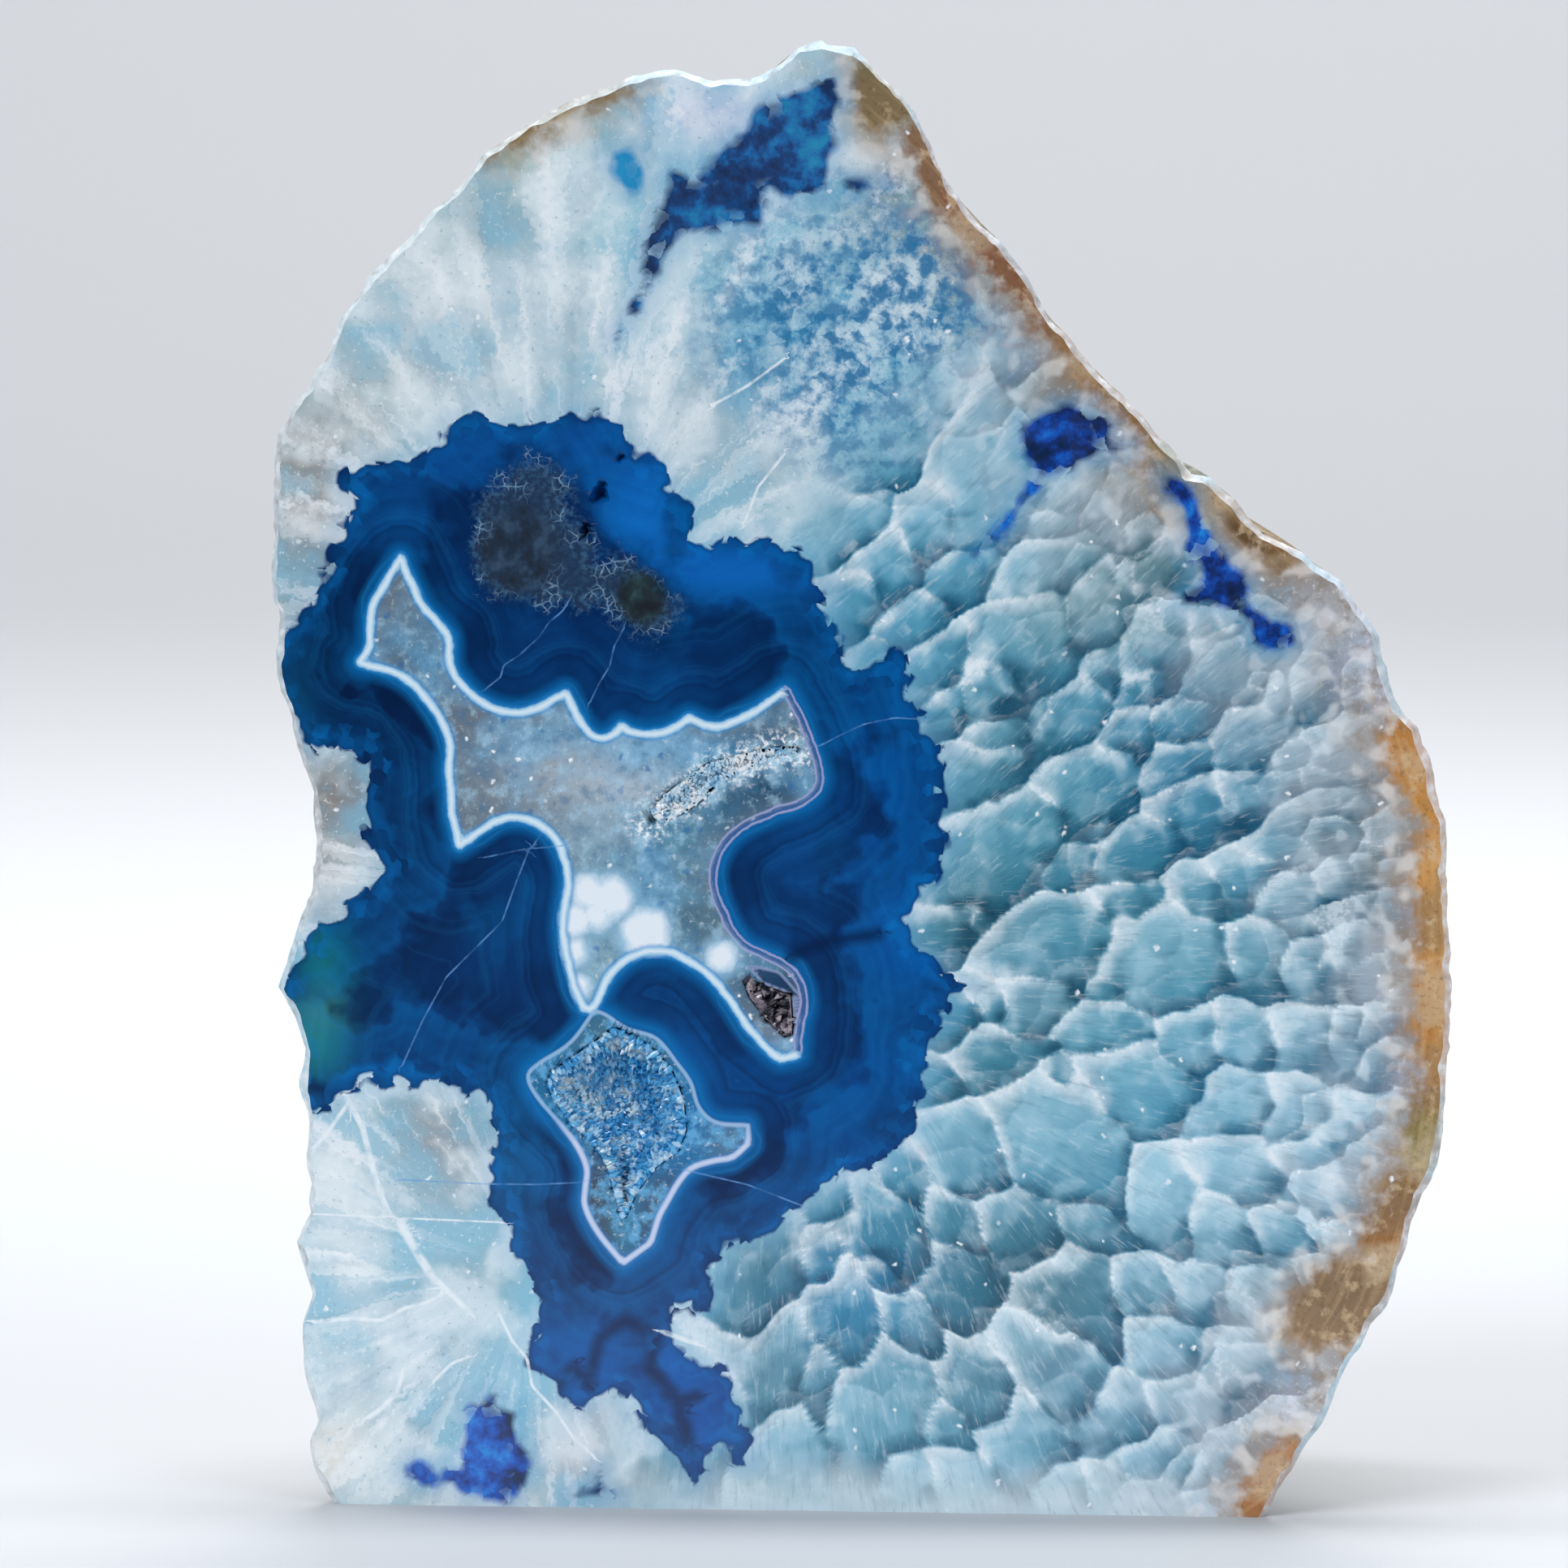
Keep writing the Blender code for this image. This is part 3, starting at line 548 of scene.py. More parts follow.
# Soft spots of tone: middle x and z, reach across and up, turn in degrees, colour and strength.
QUARTZ_TONES = (
    (-50, 148, 16, 14, 0, "#d3dedf", 0.9), (-42, 150, 14, 12, 0, "#dbe5e8", 0.9),
    (-34, 145, 10, 12, 0, "#c6d8de", 0.8), (-62, 136, 7, 8, 0, "#b9bcb8", 0.8),
    (-70, 128, 5, 10, 0, "#a89d92", 0.9), (-69, 108, 4, 12, 0, "#a39b94", 0.8),
    (-66, 122, 4, 9, 0, "#8b8783", 0.9), (-65, 88, 7, 9, 0, "#8d8681", 1.0),
    (-66, 78, 5, 6, 0, "#a89f98", 0.8), (-44, 168, 8, 5, 35, "#a7b3a2", 0.8),
    (-37, 172, 7, 3, 25, "#9cae9f", 0.8), (-56, 156, 6, 4, 45, "#bccdd0", 0.8),
    (-45, 159, 5, 3, 30, "#86a3ad", 0.7), (-30, 172, 5, 4, 0, "#9fc0bd", 0.8),
    (-20, 173, 9, 4, 0, "#cdd4ea", 0.9), (-11, 168, 5, 5, 20, "#ccd6ee", 0.9),
    (-5, 179, 4, 2, 0, "#c3bdb0", 0.7), (-28, 160, 9, 6, 0, "#b9dce4", 0.8),
    (-34, 163, 5, 4, 0, "#a9d4de", 0.7), (-16, 146, 12, 12, 0, "#b6d6e1", 0.9),
    (-22, 150, 5, 8, -15, "#c3dfe8", 0.7), (-18, 134, 12, 9, 0, "#b3c5cd", 0.9),
    (-8, 128, 8, 7, 0, "#b3c9d1", 0.8), (-12, 144, 6, 6, 0, "#6ba7c6", 0.75),
    (-6, 147, 6, 7, 0, "#6aabc9", 0.7), (0, 138, 7, 7, 0, "#7db8d0", 0.75),
    (0, 150, 7, 6, 20, "#8fc0d4", 0.7), (3, 155, 4, 6, 30, "#8caebd", 0.7),
    (3, 168, 4, 7, -15, "#8d8171", 0.9), (1, 173, 3, 4, 0, "#a69a86", 0.8),
    (9, 158, 4, 9, 25, "#868079", 0.85), (16, 149, 5, 9, 35, "#8a8781", 0.85),
    (24, 141, 6, 5, 40, "#8c867e", 0.8), (12, 140, 8, 8, 0, "#8fbccb", 0.8),
    (5, 128, 9, 8, 0, "#9ccbd8", 0.8), (16, 126, 8, 9, -20, "#a5d0da", 0.8),
    (31, 124, 8, 8, 30, "#aab4b3", 0.9), (38, 118, 8, 8, 0, "#b9bcba", 0.9),
    (33, 114, 8, 6, 20, "#a4b6b8", 0.8), (24, 112, 8, 6, 20, "#b4c8c8", 0.8),
    (48, 119, 5, 5, 45, "#8f8577", 0.8), (56, 106, 6, 8, 40, "#aaa9b3", 0.9),
    (61, 113, 5, 4, 45, "#c6c9dc", 0.9), (46, 103, 7, 6, 0, "#a1a9b2", 0.85),
    (62, 97, 5, 8, 25, "#a79a8e", 0.85), (56, 88, 7, 10, 0, "#a3aab4", 0.85),
    (64, 82, 5, 9, 0, "#b0a59c", 0.85), (62, 66, 6, 9, 0, "#a9adb8", 0.85),
    (68, 70, 3, 12, 0, "#a39a92", 0.7), (54, 70, 8, 9, 0, "#a2b9c4", 0.8),
    (18, 95, 10, 10, 0, "#a6c6cd", 0.8), (30, 86, 12, 10, 20, "#8fc2cc", 0.8),
    (42, 92, 10, 9, 20, "#8dbcc8", 0.8), (22, 81, 10, 8, 20, "#93c6cf", 0.8),
    (14, 74, 6, 6, 0, "#8fa8ab", 0.8), (34, 72, 10, 8, 30, "#84b7c0", 0.8),
    (42, 68, 9, 8, 20, "#b9dbe2", 0.85), (24, 64, 7, 5, 10, "#b3c7cb", 0.8),
    (18, 54, 8, 6, 0, "#7fa9b0", 0.8), (33, 55, 9, 7, 20, "#9bccd6", 0.8),
    (28, 46, 11, 6, 0, "#a3d0dc", 0.85), (14, 44, 7, 4, 0, "#a5cfde", 0.8),
    (50, 50, 8, 7, 0, "#c2d6e2", 0.85), (58, 42, 6, 6, 20, "#ccd8e4", 0.85),
    (12, 36, 9, 6, 0, "#7fb4c4", 0.85), (22, 34, 8, 6, 0, "#86b1bd", 0.8),
    (15, 26, 9, 9, 0, "#5f98a6", 0.85), (25, 27, 7, 7, 0, "#78999e", 0.85),
    (0, 33, 8, 5, 0, "#7fb0be", 0.8), (-11, 30, 6, 7, 0, "#93aab2", 0.9),
    (-2, 23, 8, 6, 0, "#7ba9b5", 0.8), (-12, 17, 7, 7, 0, "#a9b6bc", 0.85),
    (-4, 13, 9, 5, 0, "#b1cbd2", 0.85), (4, 11, 8, 8, 0, "#a0cbd6", 0.85),
    (14, 16, 6, 6, 0, "#7ba7b3", 0.8), (24, 17, 8, 7, 20, "#a8b9c2", 0.85),
    (36, 28, 8, 8, 30, "#adc8d2", 0.85), (44, 36, 8, 8, 30, "#bcd4de", 0.85),
    (34, 12, 8, 6, 0, "#bcd4e0", 0.85), (44, 12, 7, 7, 30, "#a9bccb", 0.85),
    (52, 26, 5, 6, 0, "#a59a96", 0.8), (50, 14, 5, 6, 30, "#b3b1b8", 0.8),
    (42, 4, 8, 3, 0, "#cbcfd6", 0.8), (10, 2, 22, 3, 0, "#dbe0dd", 0.85),
    (-14, 2, 8, 3, 0, "#ddd8ce", 0.85), (-54, 46, 7, 7, 0, "#959a9f", 0.95),
    (-50, 41, 5, 6, 0, "#a5aeb3", 0.8), (-66, 43, 5, 8, 0, "#cfdadb", 0.85),
    (-64, 32, 7, 9, 0, "#dde6e8", 0.9), (-52, 34, 7, 5, 0, "#a9cad6", 0.85),
    (-48, 28, 6, 4, 0, "#8fb1be", 0.8), (-56, 25, 6, 3, 15, "#7fb0c4", 0.8),
    (-62, 17, 7, 7, 0, "#d9e3e6", 0.9), (-51, 18, 7, 6, 0, "#bfcfd7", 0.85),
    (-57, 9, 5, 5, 0, "#8fb3c2", 0.75), (-66, 6, 6, 6, 0, "#eee6da", 0.95),
    (-36, 7, 5, 6, 0, "#c3c4c9", 0.85), (-31, 12, 4, 5, 0, "#c9c9cc", 0.8),
    (-27, 4, 6, 4, 0, "#cfcbc8", 0.8), (-48, 1, 12, 2, 0, "#e6ddd2", 0.7),
    (45, 52, 13, 9, 0, "#d8f0f9", 0.75), (11, 125, 9, 6, 0, "#d0ecf7", 0.75), (8, 8, 22, 6, 0, "#e2f3f9", 0.75),
    (-1, 27, 8, 7, 0, "#52b0d6", 0.75), (40, 92, 9, 9, 0, "#78b4ce", 0.6), (54, 101, 6, 6, 0, "#d3dde3", 0.7),
    (38, 40, 10, 4, -15, "#e6f4fa", 0.7),
)
AGATE_TONES = (
    (-58, 124, 8, 6, 20, "#0c57a6", 0.8), (-49, 130, 10, 4, 10, "#0b5db2", 0.9),
    (-40, 131, 9, 3, 0, "#0c58a6", 0.7), (-27, 124, 5, 7, 0, "#0f6cc4", 0.95),
    (-31, 133, 6, 2.5, 0, "#0a4c97", 0.6), (-14, 117, 10, 2.6, 0, "#0f67be", 0.9),
    (-20, 118, 5, 3, -20, "#0f67be", 0.7), (-44, 121, 8, 6, 30, "#0b4d92", 0.6),
    (3, 88, 5, 12, 0, "#00509a", 0.8), (8, 70, 6, 4, 20, "#0058a8", 0.85),
    (-1, 74, 7, 4, 0, "#0c59a6", 0.7), (-8, 78, 7, 6, 0, "#06427c", 0.8),
    (-4, 80, 5, 8, 0, "#0a4f93", 0.5), (-64, 104, 6, 7, 0, "#032350", 0.9),
    (-70, 100, 2.5, 8, 0, "#0b5f8c", 0.8), (-56, 75, 9, 12, 0, "#04305f", 0.8),
    (-50, 64, 9, 8, 0, "#04356c", 0.6), (-67, 68, 3.5, 5, 0, "#0e7078", 0.9),
    (-68, 58, 3.5, 4, 0, "#258a83", 0.8), (-67, 62, 3, 2.5, 0, "#3f8f8a", 0.6),
    (-36, 107, 9, 7, 0, "#063f7b", 0.7), (-25, 106, 8, 6, 0, "#05396f", 0.7),
    (-43, 44, 4, 9, 0, "#115d90", 0.7), (-21, 56, 4, 7, 30, "#0a569c", 0.7),
    (-8, 50, 9, 8, 0, "#00478a", 0.8), (2, 54, 6, 8, 0, "#004b92", 0.7),
    (-12, 41, 8, 3, 0, "#084a88", 0.6), (-24, 32, 6, 5, 0, "#004684", 0.7),
    (-27, 16, 9, 5, 20, "#005eb4", 0.95), (-20, 10, 4, 6, 0, "#0b50a8", 0.8),
    (-32, 20, 5, 3, 0, "#0a4f9a", 0.7), (-38, 20, 4, 3, 0, "#0b5cab", 0.7),
)
STAR_TONES = (
    (-56, 108, 4, 8, 0, "#6a747e", 0.9), (-55, 106, 2.5, 3, 0, "#4f7f9c", 0.7),
    (-48, 98, 5, 6, 0, "#6f7a85", 0.9), (-44, 93, 6, 4, 0, "#7d8993", 0.8),
    (-45, 88, 6, 5, 0, "#7b868f", 0.7), (-46, 94, 3, 2, 0, "#5f93b4", 0.5),
    (-34, 92, 8, 4, 0, "#b3bcc4", 0.9), (-28, 90, 5, 3, 20, "#c9d2da", 0.8),
    (-30, 95, 5, 2, 0, "#a4adb4", 0.7), (-18, 94, 6, 2.4, 10, "#4f93bb", 0.9),
    (-26, 94, 6, 2.5, 0, "#8fb3c9", 0.7), (-10, 98, 3, 3, 0, "#5d7386", 0.8),
    (-11, 91, 5, 3.4, 15, "#1d4a69", 0.95), (-17, 88, 4, 3, 20, "#2c5f7c", 0.8),
    (-24, 84, 5, 4, 40, "#5a9ab8", 0.85), (-33, 84, 5, 4, 0, "#9db9c8", 0.85),
    (-24, 77, 6, 5, 0, "#64818f", 0.85), (-31, 80, 4, 3, 0, "#7ca6b9", 0.7),
    (-21, 73, 4, 4, 0, "#54788a", 0.85), (-30, 71, 4, 3, 0, "#8fb8c9", 0.8),
    (-33, 67, 2.5, 4, 0, "#8fb5c4", 0.8), (-17, 67, 3, 3, 0, "#7fa6bf", 0.8),
    (-12, 66, 4, 3, 0, "#2c5270", 0.9), (-8, 62, 2, 5, 0, "#17385a", 0.9),
    (-10, 59, 2, 2, 0, "#8d9cb4", 0.6),
)
POCKET_TONES = (
    (-31, 58, 6, 4, 0, "#527c8b", 0.9), (-37, 53, 4, 4, 0, "#2f7299", 0.85),
    (-30, 51, 7, 5, 0, "#1f6fa6", 0.9), (-25, 47, 5, 4, 0, "#2486c4", 0.9),
    (-33, 39, 2, 6, 0, "#49525f", 0.95), (-31, 35, 3, 4, 0, "#4b5563", 0.9),
    (-25, 38, 2, 4, -20, "#4d5767", 0.95), (-16, 46, 3, 3, 0, "#5f7f9a", 0.9),
    (-29.4, 38, 1.5, 6, 0, "#3f8fb4", 0.8),
)


def toned(flat, ground, tones):
    """A colour at every point: each soft spot in turn is laid over the ground like a breath of spray."""
    ground = paint(ground)[:3] if isinstance(ground, str) else ground
    colour = np.broadcast_to(ground, (len(flat), 3))
    for x, z, across, up, turn, tone, strength in tones:
        cos, sin = np.cos(np.radians(turn)), np.sin(np.radians(turn))
        dx, dz = flat[:, 0] - x, flat[:, 1] - z
        far = ((dx * cos + dz * sin) / across) ** 2 + ((dz * cos - dx * sin) / up) ** 2
        share = (strength * np.exp(-0.8 * far))[:, None]
        colour = colour * (1 - share) + np.array(paint(tone)[:3]) * share
    return colour


def add(tree, kind, sockets=(), out=0, **settings):
    """Adds a shader node with its settings and its sockets' links or values, and returns an output."""
    made = tree.nodes.new("ShaderNode" + kind)
    for key, value in settings.items():
        setattr(made, key, value)
    for key, value in dict(sockets).items():
        if isinstance(value, bpy.types.NodeSocket):
            tree.links.new(value, made.inputs[key])
        else:
            made.inputs[key].default_value = value
    return made.outputs[out]


def new_material(name):
    """A material, its tree, its principled shader, and the function that adds nodes to that tree."""
    made = bpy.data.materials.new(name)
    made.use_nodes = True
    tree = made.node_tree
    return made, tree.nodes["Principled BSDF"], functools.partial(add, tree)


def stops(output, *marks):
    """Sets the stops of a colour ramp, each a place and a hex colour, and returns its output."""
    ramp = output.node.color_ramp
    while len(ramp.elements) < len(marks):
        ramp.elements.new(0.5)
    for element, (place, code) in zip(ramp.elements, marks):
        element.position = place
        element.color = paint(code)
    return output


# Crystals of the mosaic on the right: middle x and z, reach and lightness from -1 to 1.
CRYSTALS = (
    (2.0, 107.0, 3.5, -0.1), (11.5, 100.5, 4.0, 0.1), (18.5, 104.3, 7.0, 0.5), (16.9, 96.7, 5.0, 0.0),
    (22.3, 100.5, 4.0, -0.2), (26.5, 100.5, 6.0, 0.3), (32.6, 97.1, 5.0, 0.1), (39.9, 99.3, 5.0, -0.1),
    (39.5, 92.8, 5.0, -0.2), (14.6, 91.7, 6.0, 0.2), (29.2, 90.9, 7.0, 0.0), (29.5, 86.7, 4.0, 0.8),
    (16.9, 82.5, 9.0, 0.1), (26.1, 81.3, 4.5, -0.8), (33.7, 82.5, 6.0, -0.3), (42.5, 87.9, 6.0, -0.1),
    (10.8, 73.7, 5.0, -0.2), (14.6, 73.7, 3.0, -0.8), (26.1, 71.0, 8.0, 0.0), (42.5, 77.5, 4.5, 0.1),
    (37.6, 69.1, 9.0, 0.7), (22.3, 64.1, 6.0, 0.5), (16.5, 63.4, 4.0, -0.4), (10.8, 62.2, 5.0, -0.2),
    (18.4, 56.5, 6.0, -0.5), (31.1, 59.9, 6.5, 0.2), (40.6, 59.2, 6.0, 0.4), (35.7, 53.8, 8.0, -0.1),
    (24.6, 54.2, 4.5, -0.4), (16.5, 128.0, 9.0, 0.3), (23.3, 116.8, 6.5, 0.7), (29.4, 113.0, 6.5, 0.3),
    (23.3, 124.4, 5.0, 0.0), (29.4, 126.3, 4.5, 0.3), (32.5, 122.5, 4.0, 0.2), (35.5, 123.3, 5.0, 0.8),
    (37.0, 117.3, 5.0, 0.1), (20.6, 108.0, 9.0, 0.2), (10.7, 106.1, 5.0, 0.0), (36.7, 108.0, 6.5, 0.2),
    (46.2, 106.1, 7.0, 0.0), (54.7, 103.0, 6.0, 0.3), (36.7, 104.5, 5.0, -0.2), (4.0, 131.3, 5.0, 0.2),
    (9.0, 123.3, 6.0, 0.1), (0.0, 123.3, 5.0, 0.0), (4.0, 117.3, 6.0, 0.2), (7.0, 111.3, 5.0, 0.1),
    (13.0, 117.3, 6.0, 0.3), (0.0, 113.3, 4.5, -0.1), (50.0, 97.3, 5.5, -0.1), (48.0, 89.3, 5.0, 0.1),
    (55.0, 94.3, 5.0, 0.2), (53.0, 84.3, 5.5, 0.3), (59.0, 87.3, 4.5, 0.1), (48.0, 79.3, 5.0, 0.2),
    (54.0, 76.3, 5.0, 0.4), (60.0, 78.3, 4.5, 0.2), (49.0, 69.3, 5.5, 0.1), (56.0, 68.3, 5.0, 0.3),
    (62.0, 69.3, 4.5, 0.0), (48.0, 60.3, 5.5, 0.2), (55.0, 59.3, 5.0, 0.3), (62.0, 58.3, 5.0, 0.1),
    (46.0, 51.3, 6.0, 0.3), (54.0, 50.3, 5.0, 0.9), (61.0, 48.3, 5.0, 0.6), (48.0, 43.3, 6.0, 0.4),
    (56.0, 42.3, 5.5, 0.6), (45.0, 35.3, 6.5, 0.4), (53.0, 34.3, 5.5, 0.2), (48.0, 27.3, 5.5, 0.2),
    (42.0, 28.3, 6.0, 0.5), (39.0, 21.3, 6.0, 0.6), (47.0, 19.3, 6.0, 0.3), (54.0, 22.3, 4.5, -0.2),
    (42.0, 13.3, 6.0, 0.4), (49.0, 11.3, 5.0, 0.2), (38.0, 7.3, 5.5, 0.5), (45.0, 5.3, 5.0, 0.5),
    (9.5, 53.5, 5.0, -0.3), (13.4, 44.7, 7.0, 0.8), (26.0, 45.1, 10.0, 0.5), (5.7, 42.0, 5.0, -0.2),
    (-2.7, 39.3, 5.0, -0.7), (3.4, 35.9, 7.0, 0.0), (12.2, 35.9, 6.0, -0.1), (20.6, 35.9, 6.5, -0.2),
    (29.4, 36.6, 6.0, 0.4), (37.5, 38.2, 7.0, 0.9), (-12.3, 29.8, 7.5, -0.1), (-4.7, 30.9, 4.0, -0.4),
    (3.4, 29.8, 4.0, -0.8), (12.6, 29.0, 6.5, -0.5), (-1.5, 23.6, 6.5, -0.3), (6.5, 22.9, 5.5, 0.0),
    (14.5, 16.0, 6.5, -0.4), (26.8, 27.5, 7.0, -0.4), (24.5, 23.3, 3.5, -0.9), (25.6, 17.1, 7.5, 0.2),
    (36.3, 28.6, 6.0, 0.6), (-10.3, 17.5, 7.0, 0.0), (2.7, 12.5, 8.5, 0.3), (11.5, 10.6, 4.0, -0.6),
    (-8.4, 6.4, 6.5, 0.3), (20.3, 8.3, 6.5, 0.1), (31.4, 13.3, 6.0, 0.4), (5.7, 4.5, 5.0, 0.7),
    (31.4, 3.0, 4.0, 0.0), (-5.0, 16.3, 5.0, 0.1), (14.0, 4.3, 5.0, 0.4), (24.0, 3.3, 4.5, 0.5),
    (29.0, 104.8, 4.5, 0.0), (44.5, 112.0, 4.5, 0.1), (60.0, 97.0, 4.5, 0.1), (33.0, 76.0, 5.0, -0.3),
    (31.0, 66.0, 4.5, -0.1), (-16.0, 12.0, 5.0, 0.2), (60.5, 33.0, 4.5, 0.0), (65.0, 40.0, 4.0, 0.0),
    (66.0, 88.0, 4.0, 0.0), (67.0, 78.0, 4.0, 0.1), (67.0, 62.0, 4.0, 0.0), (50.0, 115.0, 4.5, 0.0),
)
CRYSTAL_STRETCH = 1.5  # a crystal is this much longer towards the rim than across
CRYSTAL_POINT = 1.4  # 2 gives a crystal rounded ends, and less gives it pointed ones
CRYSTAL_BLUR = 0.3  # in millimetres, how softly one crystal passes into the next
CRYSTAL_TURN = 0.4  # how far, in radians, a crystal turns from facing the rim
CRYSTAL_BENDS = ((5.0, 0.8), (1.7, 0.18))  # size and sway of the bends in the crystals' borders
# The direction of the painted light across each crystal: that side gets a painted pale edge and highlight, the
# other side painted shade.
LIT_FROM = (-0.55, 0.83)  # the side of a crystal in the face that shows its pale edge
MOSAIC = ((-20, -5), (-22, 30), (-2, 42), (2, 60), (4, 100), (-8, 108), (-4, 124), (2, 134), (12, 142),
          (26, 143), (42, 131), (80, 112), (80, -5))
SHATTERED = ((-14, 158), (-18, 146), (-10, 136), (0, 128), (14, 140), (34, 136), (26, 146), (12, 166),
             (-2, 162))
PATCH = (  # the rough grey patch high in the agate
    (-47.5, 121.3), (-47.0, 125.3), (-43.5, 128.8), (-40.5, 130.3), (-37.0, 128.8), (-36.0, 124.3),
    (-34.5, 122.3), (-32.5, 118.3), (-30.0, 118.3), (-27.0, 117.3), (-24.5, 113.8), (-22.6, 112.0),
    (-26.0, 109.3), (-29.0, 110.8), (-32.0, 112.8), (-36.0, 112.8), (-41.0, 113.8), (-46.0, 114.8),
    (-47.8, 118.3),
)
PATCH_MIDDLES = ((-42.3, 119.3, 5.0, 5.6), (-27.0, 113.6, 3.3, 3.4))  # its smoky and its dark middle
FANS = ((-41.0, 30.0), (-36.0, 112.0))  # the fibres of each fan of quartz spread from such a point


def small_crystals(spacing, seed):
    """Crystals on a shaken grid over the whole face, written like CRYSTALS."""
    random = np.random.default_rng(seed)
    x, z = np.meshgrid(np.arange(-74, 76, spacing), np.arange(-4, 186, spacing))
    seats = np.stack([x, z], -1).reshape(-1, 2) + random.uniform(-0.5, 0.5, (x.size, 2)) * spacing
    reach = random.uniform(0.1, 0.5, x.size) * spacing
    return np.column_stack([seats, reach, random.uniform(-1, 1, x.size)])


def mosaic(flat, crystals, seed, batch=3000):
    """The crystal each point lies in, found by stretched distance less the crystal's own reach.

    A crystal is long towards the rim, turned a little its own way, and slimmer at its outer end.
    Gives the distance to its border, how far the point lies towards its side with painted light, and its
    lightness.
    """
    crystals = np.array(crystals)
    rim = evened(np.array(RIM + SAWN_OFF), 14)
    middles, reach = crystals[:, :2], crystals[:, 2]
    toward = rim[nearest(rim, middles, True)[1]] - middles
    angle = np.arctan2(toward[:, 1], toward[:, 0])
    angle += np.random.default_rng(seed).normal(0, CRYSTAL_TURN, len(crystals))
    toward = np.stack([np.cos(angle), np.sin(angle)], -1)
    solid = np.insert(flat, 1, 0, axis=1)
    bend = [noise(solid, size, seed + axis) * sway for axis in (0, 1) for size, sway in CRYSTAL_BENDS]
    bent = flat + np.stack([bend[0] + bend[1], bend[2] + bend[3]], -1)
    border, lit, light = (np.empty(len(flat)) for _ in range(3))
    for start in range(0, len(flat), batch):
        gap = bent[start:start + batch, None] - middles
        along = (gap * toward).sum(-1)
        across = gap[..., 0] * toward[:, 1] - gap[..., 1] * toward[:, 0]
        across *= 1 + 0.3 * np.clip(along / (reach + 2), -1, 1)
        far = (abs(along / CRYSTAL_STRETCH) ** CRYSTAL_POINT + abs(across) ** CRYSTAL_POINT) ** (1 / CRYSTAL_POINT) - reach
        order = np.argpartition(far, 1, axis=1)[:, :2]
        rows = np.arange(len(far))[:, None]
        apart = np.diff(far[rows, order], axis=1)[:, 0] / 2
        border[start:start + batch] = abs(apart)
        share = 0.5 + 0.5 * np.tanh(apart / CRYSTAL_BLUR)
        size = np.maximum(reach[order], 0.8) + 1
        both = (gap[rows, order] @ np.array(LIT_FROM)) / size
        lit[start:start + batch] = both[:, 0] * share + both[:, 1] * (1 - share)
        light[start:start + batch] = crystals[order[:, 0], 3] * share + crystals[order[:, 1], 3] * (1 - share)
    return border, lit, light


def lines_field(flat, lines, widths):
    """Signed distance to the nearest line in widths of that line, and the plain distance.

    The signed one runs through nought across a line, which keeps a thin line crisp between points.
    """
    best, value = np.full(len(flat), 99.0), np.full(len(flat), 99.0)
    for line, width in zip(lines, widths):
        far, _, side = nearest(line, flat, False)
        closer = far < best
        best = np.where(closer, far, best)
        value = np.where(closer, far * side / width, value)
    return value, best


# Brown and orange chalcedony that the polished face cuts near its rim: outlines and tones.
IRON = (
    ("#c8843a", ((67.0, 99.0), (69.4, 96.4), (71.4, 90.6), (72.4, 87.0), (71.6, 86.0), (68.6, 89.4),
                 (67.2, 93.0), (65.6, 96.2))),
    ("#d3924a", ((72.2, 86.0), (72.8, 78.0), (73.0, 66.0), (72.8, 55.0), (71.4, 53.6), (70.2, 58.0),
                 (69.6, 66.0), (70.0, 74.0), (69.2, 80.0), (70.4, 84.0))),
    ("#8a7d4a", ((70.6, 53.4), (72.6, 50.0), (71.8, 45.6), (70.2, 43.6), (68.2, 45.0), (69.4, 49.6))),
    ("#8a6538", ((69.6, 43.2), (70.4, 40.6), (68.2, 36.4), (67.2, 32.0), (64.2, 31.6), (63.2, 34.2),
                 (65.0, 38.6), (66.8, 42.2))),
    ("#9a7a58", ((64.8, 31.8), (65.6, 27.6), (62.8, 23.6), (57.4, 22.4), (54.0, 24.0), (55.8, 28.0),
                 (60.0, 31.4))),
    ("#b5743a", ((54.0, 8.2), (53.6, 5.2), (50.2, 0.0), (48.4, 0.0), (48.8, 3.4), (51.4, 7.0))),
    ("#8f5a3e", ((7.0, 170.3), (9.6, 163.4), (13.0, 159.0), (17.0, 154.6), (23.4, 147.4), (24.6, 146.8),
                 (19.6, 153.8), (14.4, 159.8), (11.0, 164.2), (8.6, 169.4))),
    ("#a0703c", ((22.0, 149.6), (26.0, 144.4), (31.2, 138.8), (36.2, 133.4), (40.2, 128.6), (40.6, 129.6),
                 (36.4, 134.8), (31.8, 139.9), (27.0, 145.0), (23.4, 149.4))),
    ("#8f8a60", ((36.2, 133.6), (38.6, 132.6), (40.6, 129.6), (39.8, 127.8), (37.6, 129.4))),
    ("#7d5a34", ((41.6, 127.4), (45.4, 126.8), (49.4, 122.8), (53.6, 120.2), (50.6, 119.6), (45.6, 122.4),
                 (42.2, 124.8))),
    ("#7a7148", ((0.8, 179.4), (4.2, 176.6), (5.0, 173.4), (2.4, 172.4), (0.2, 175.4))),
    ("#8d7a4e", ((-44.2, 170.0), (-38.0, 173.2), (-30.6, 176.6), (-30.0, 177.4), (-38.6, 173.9),
                 (-45.4, 169.8))),
)
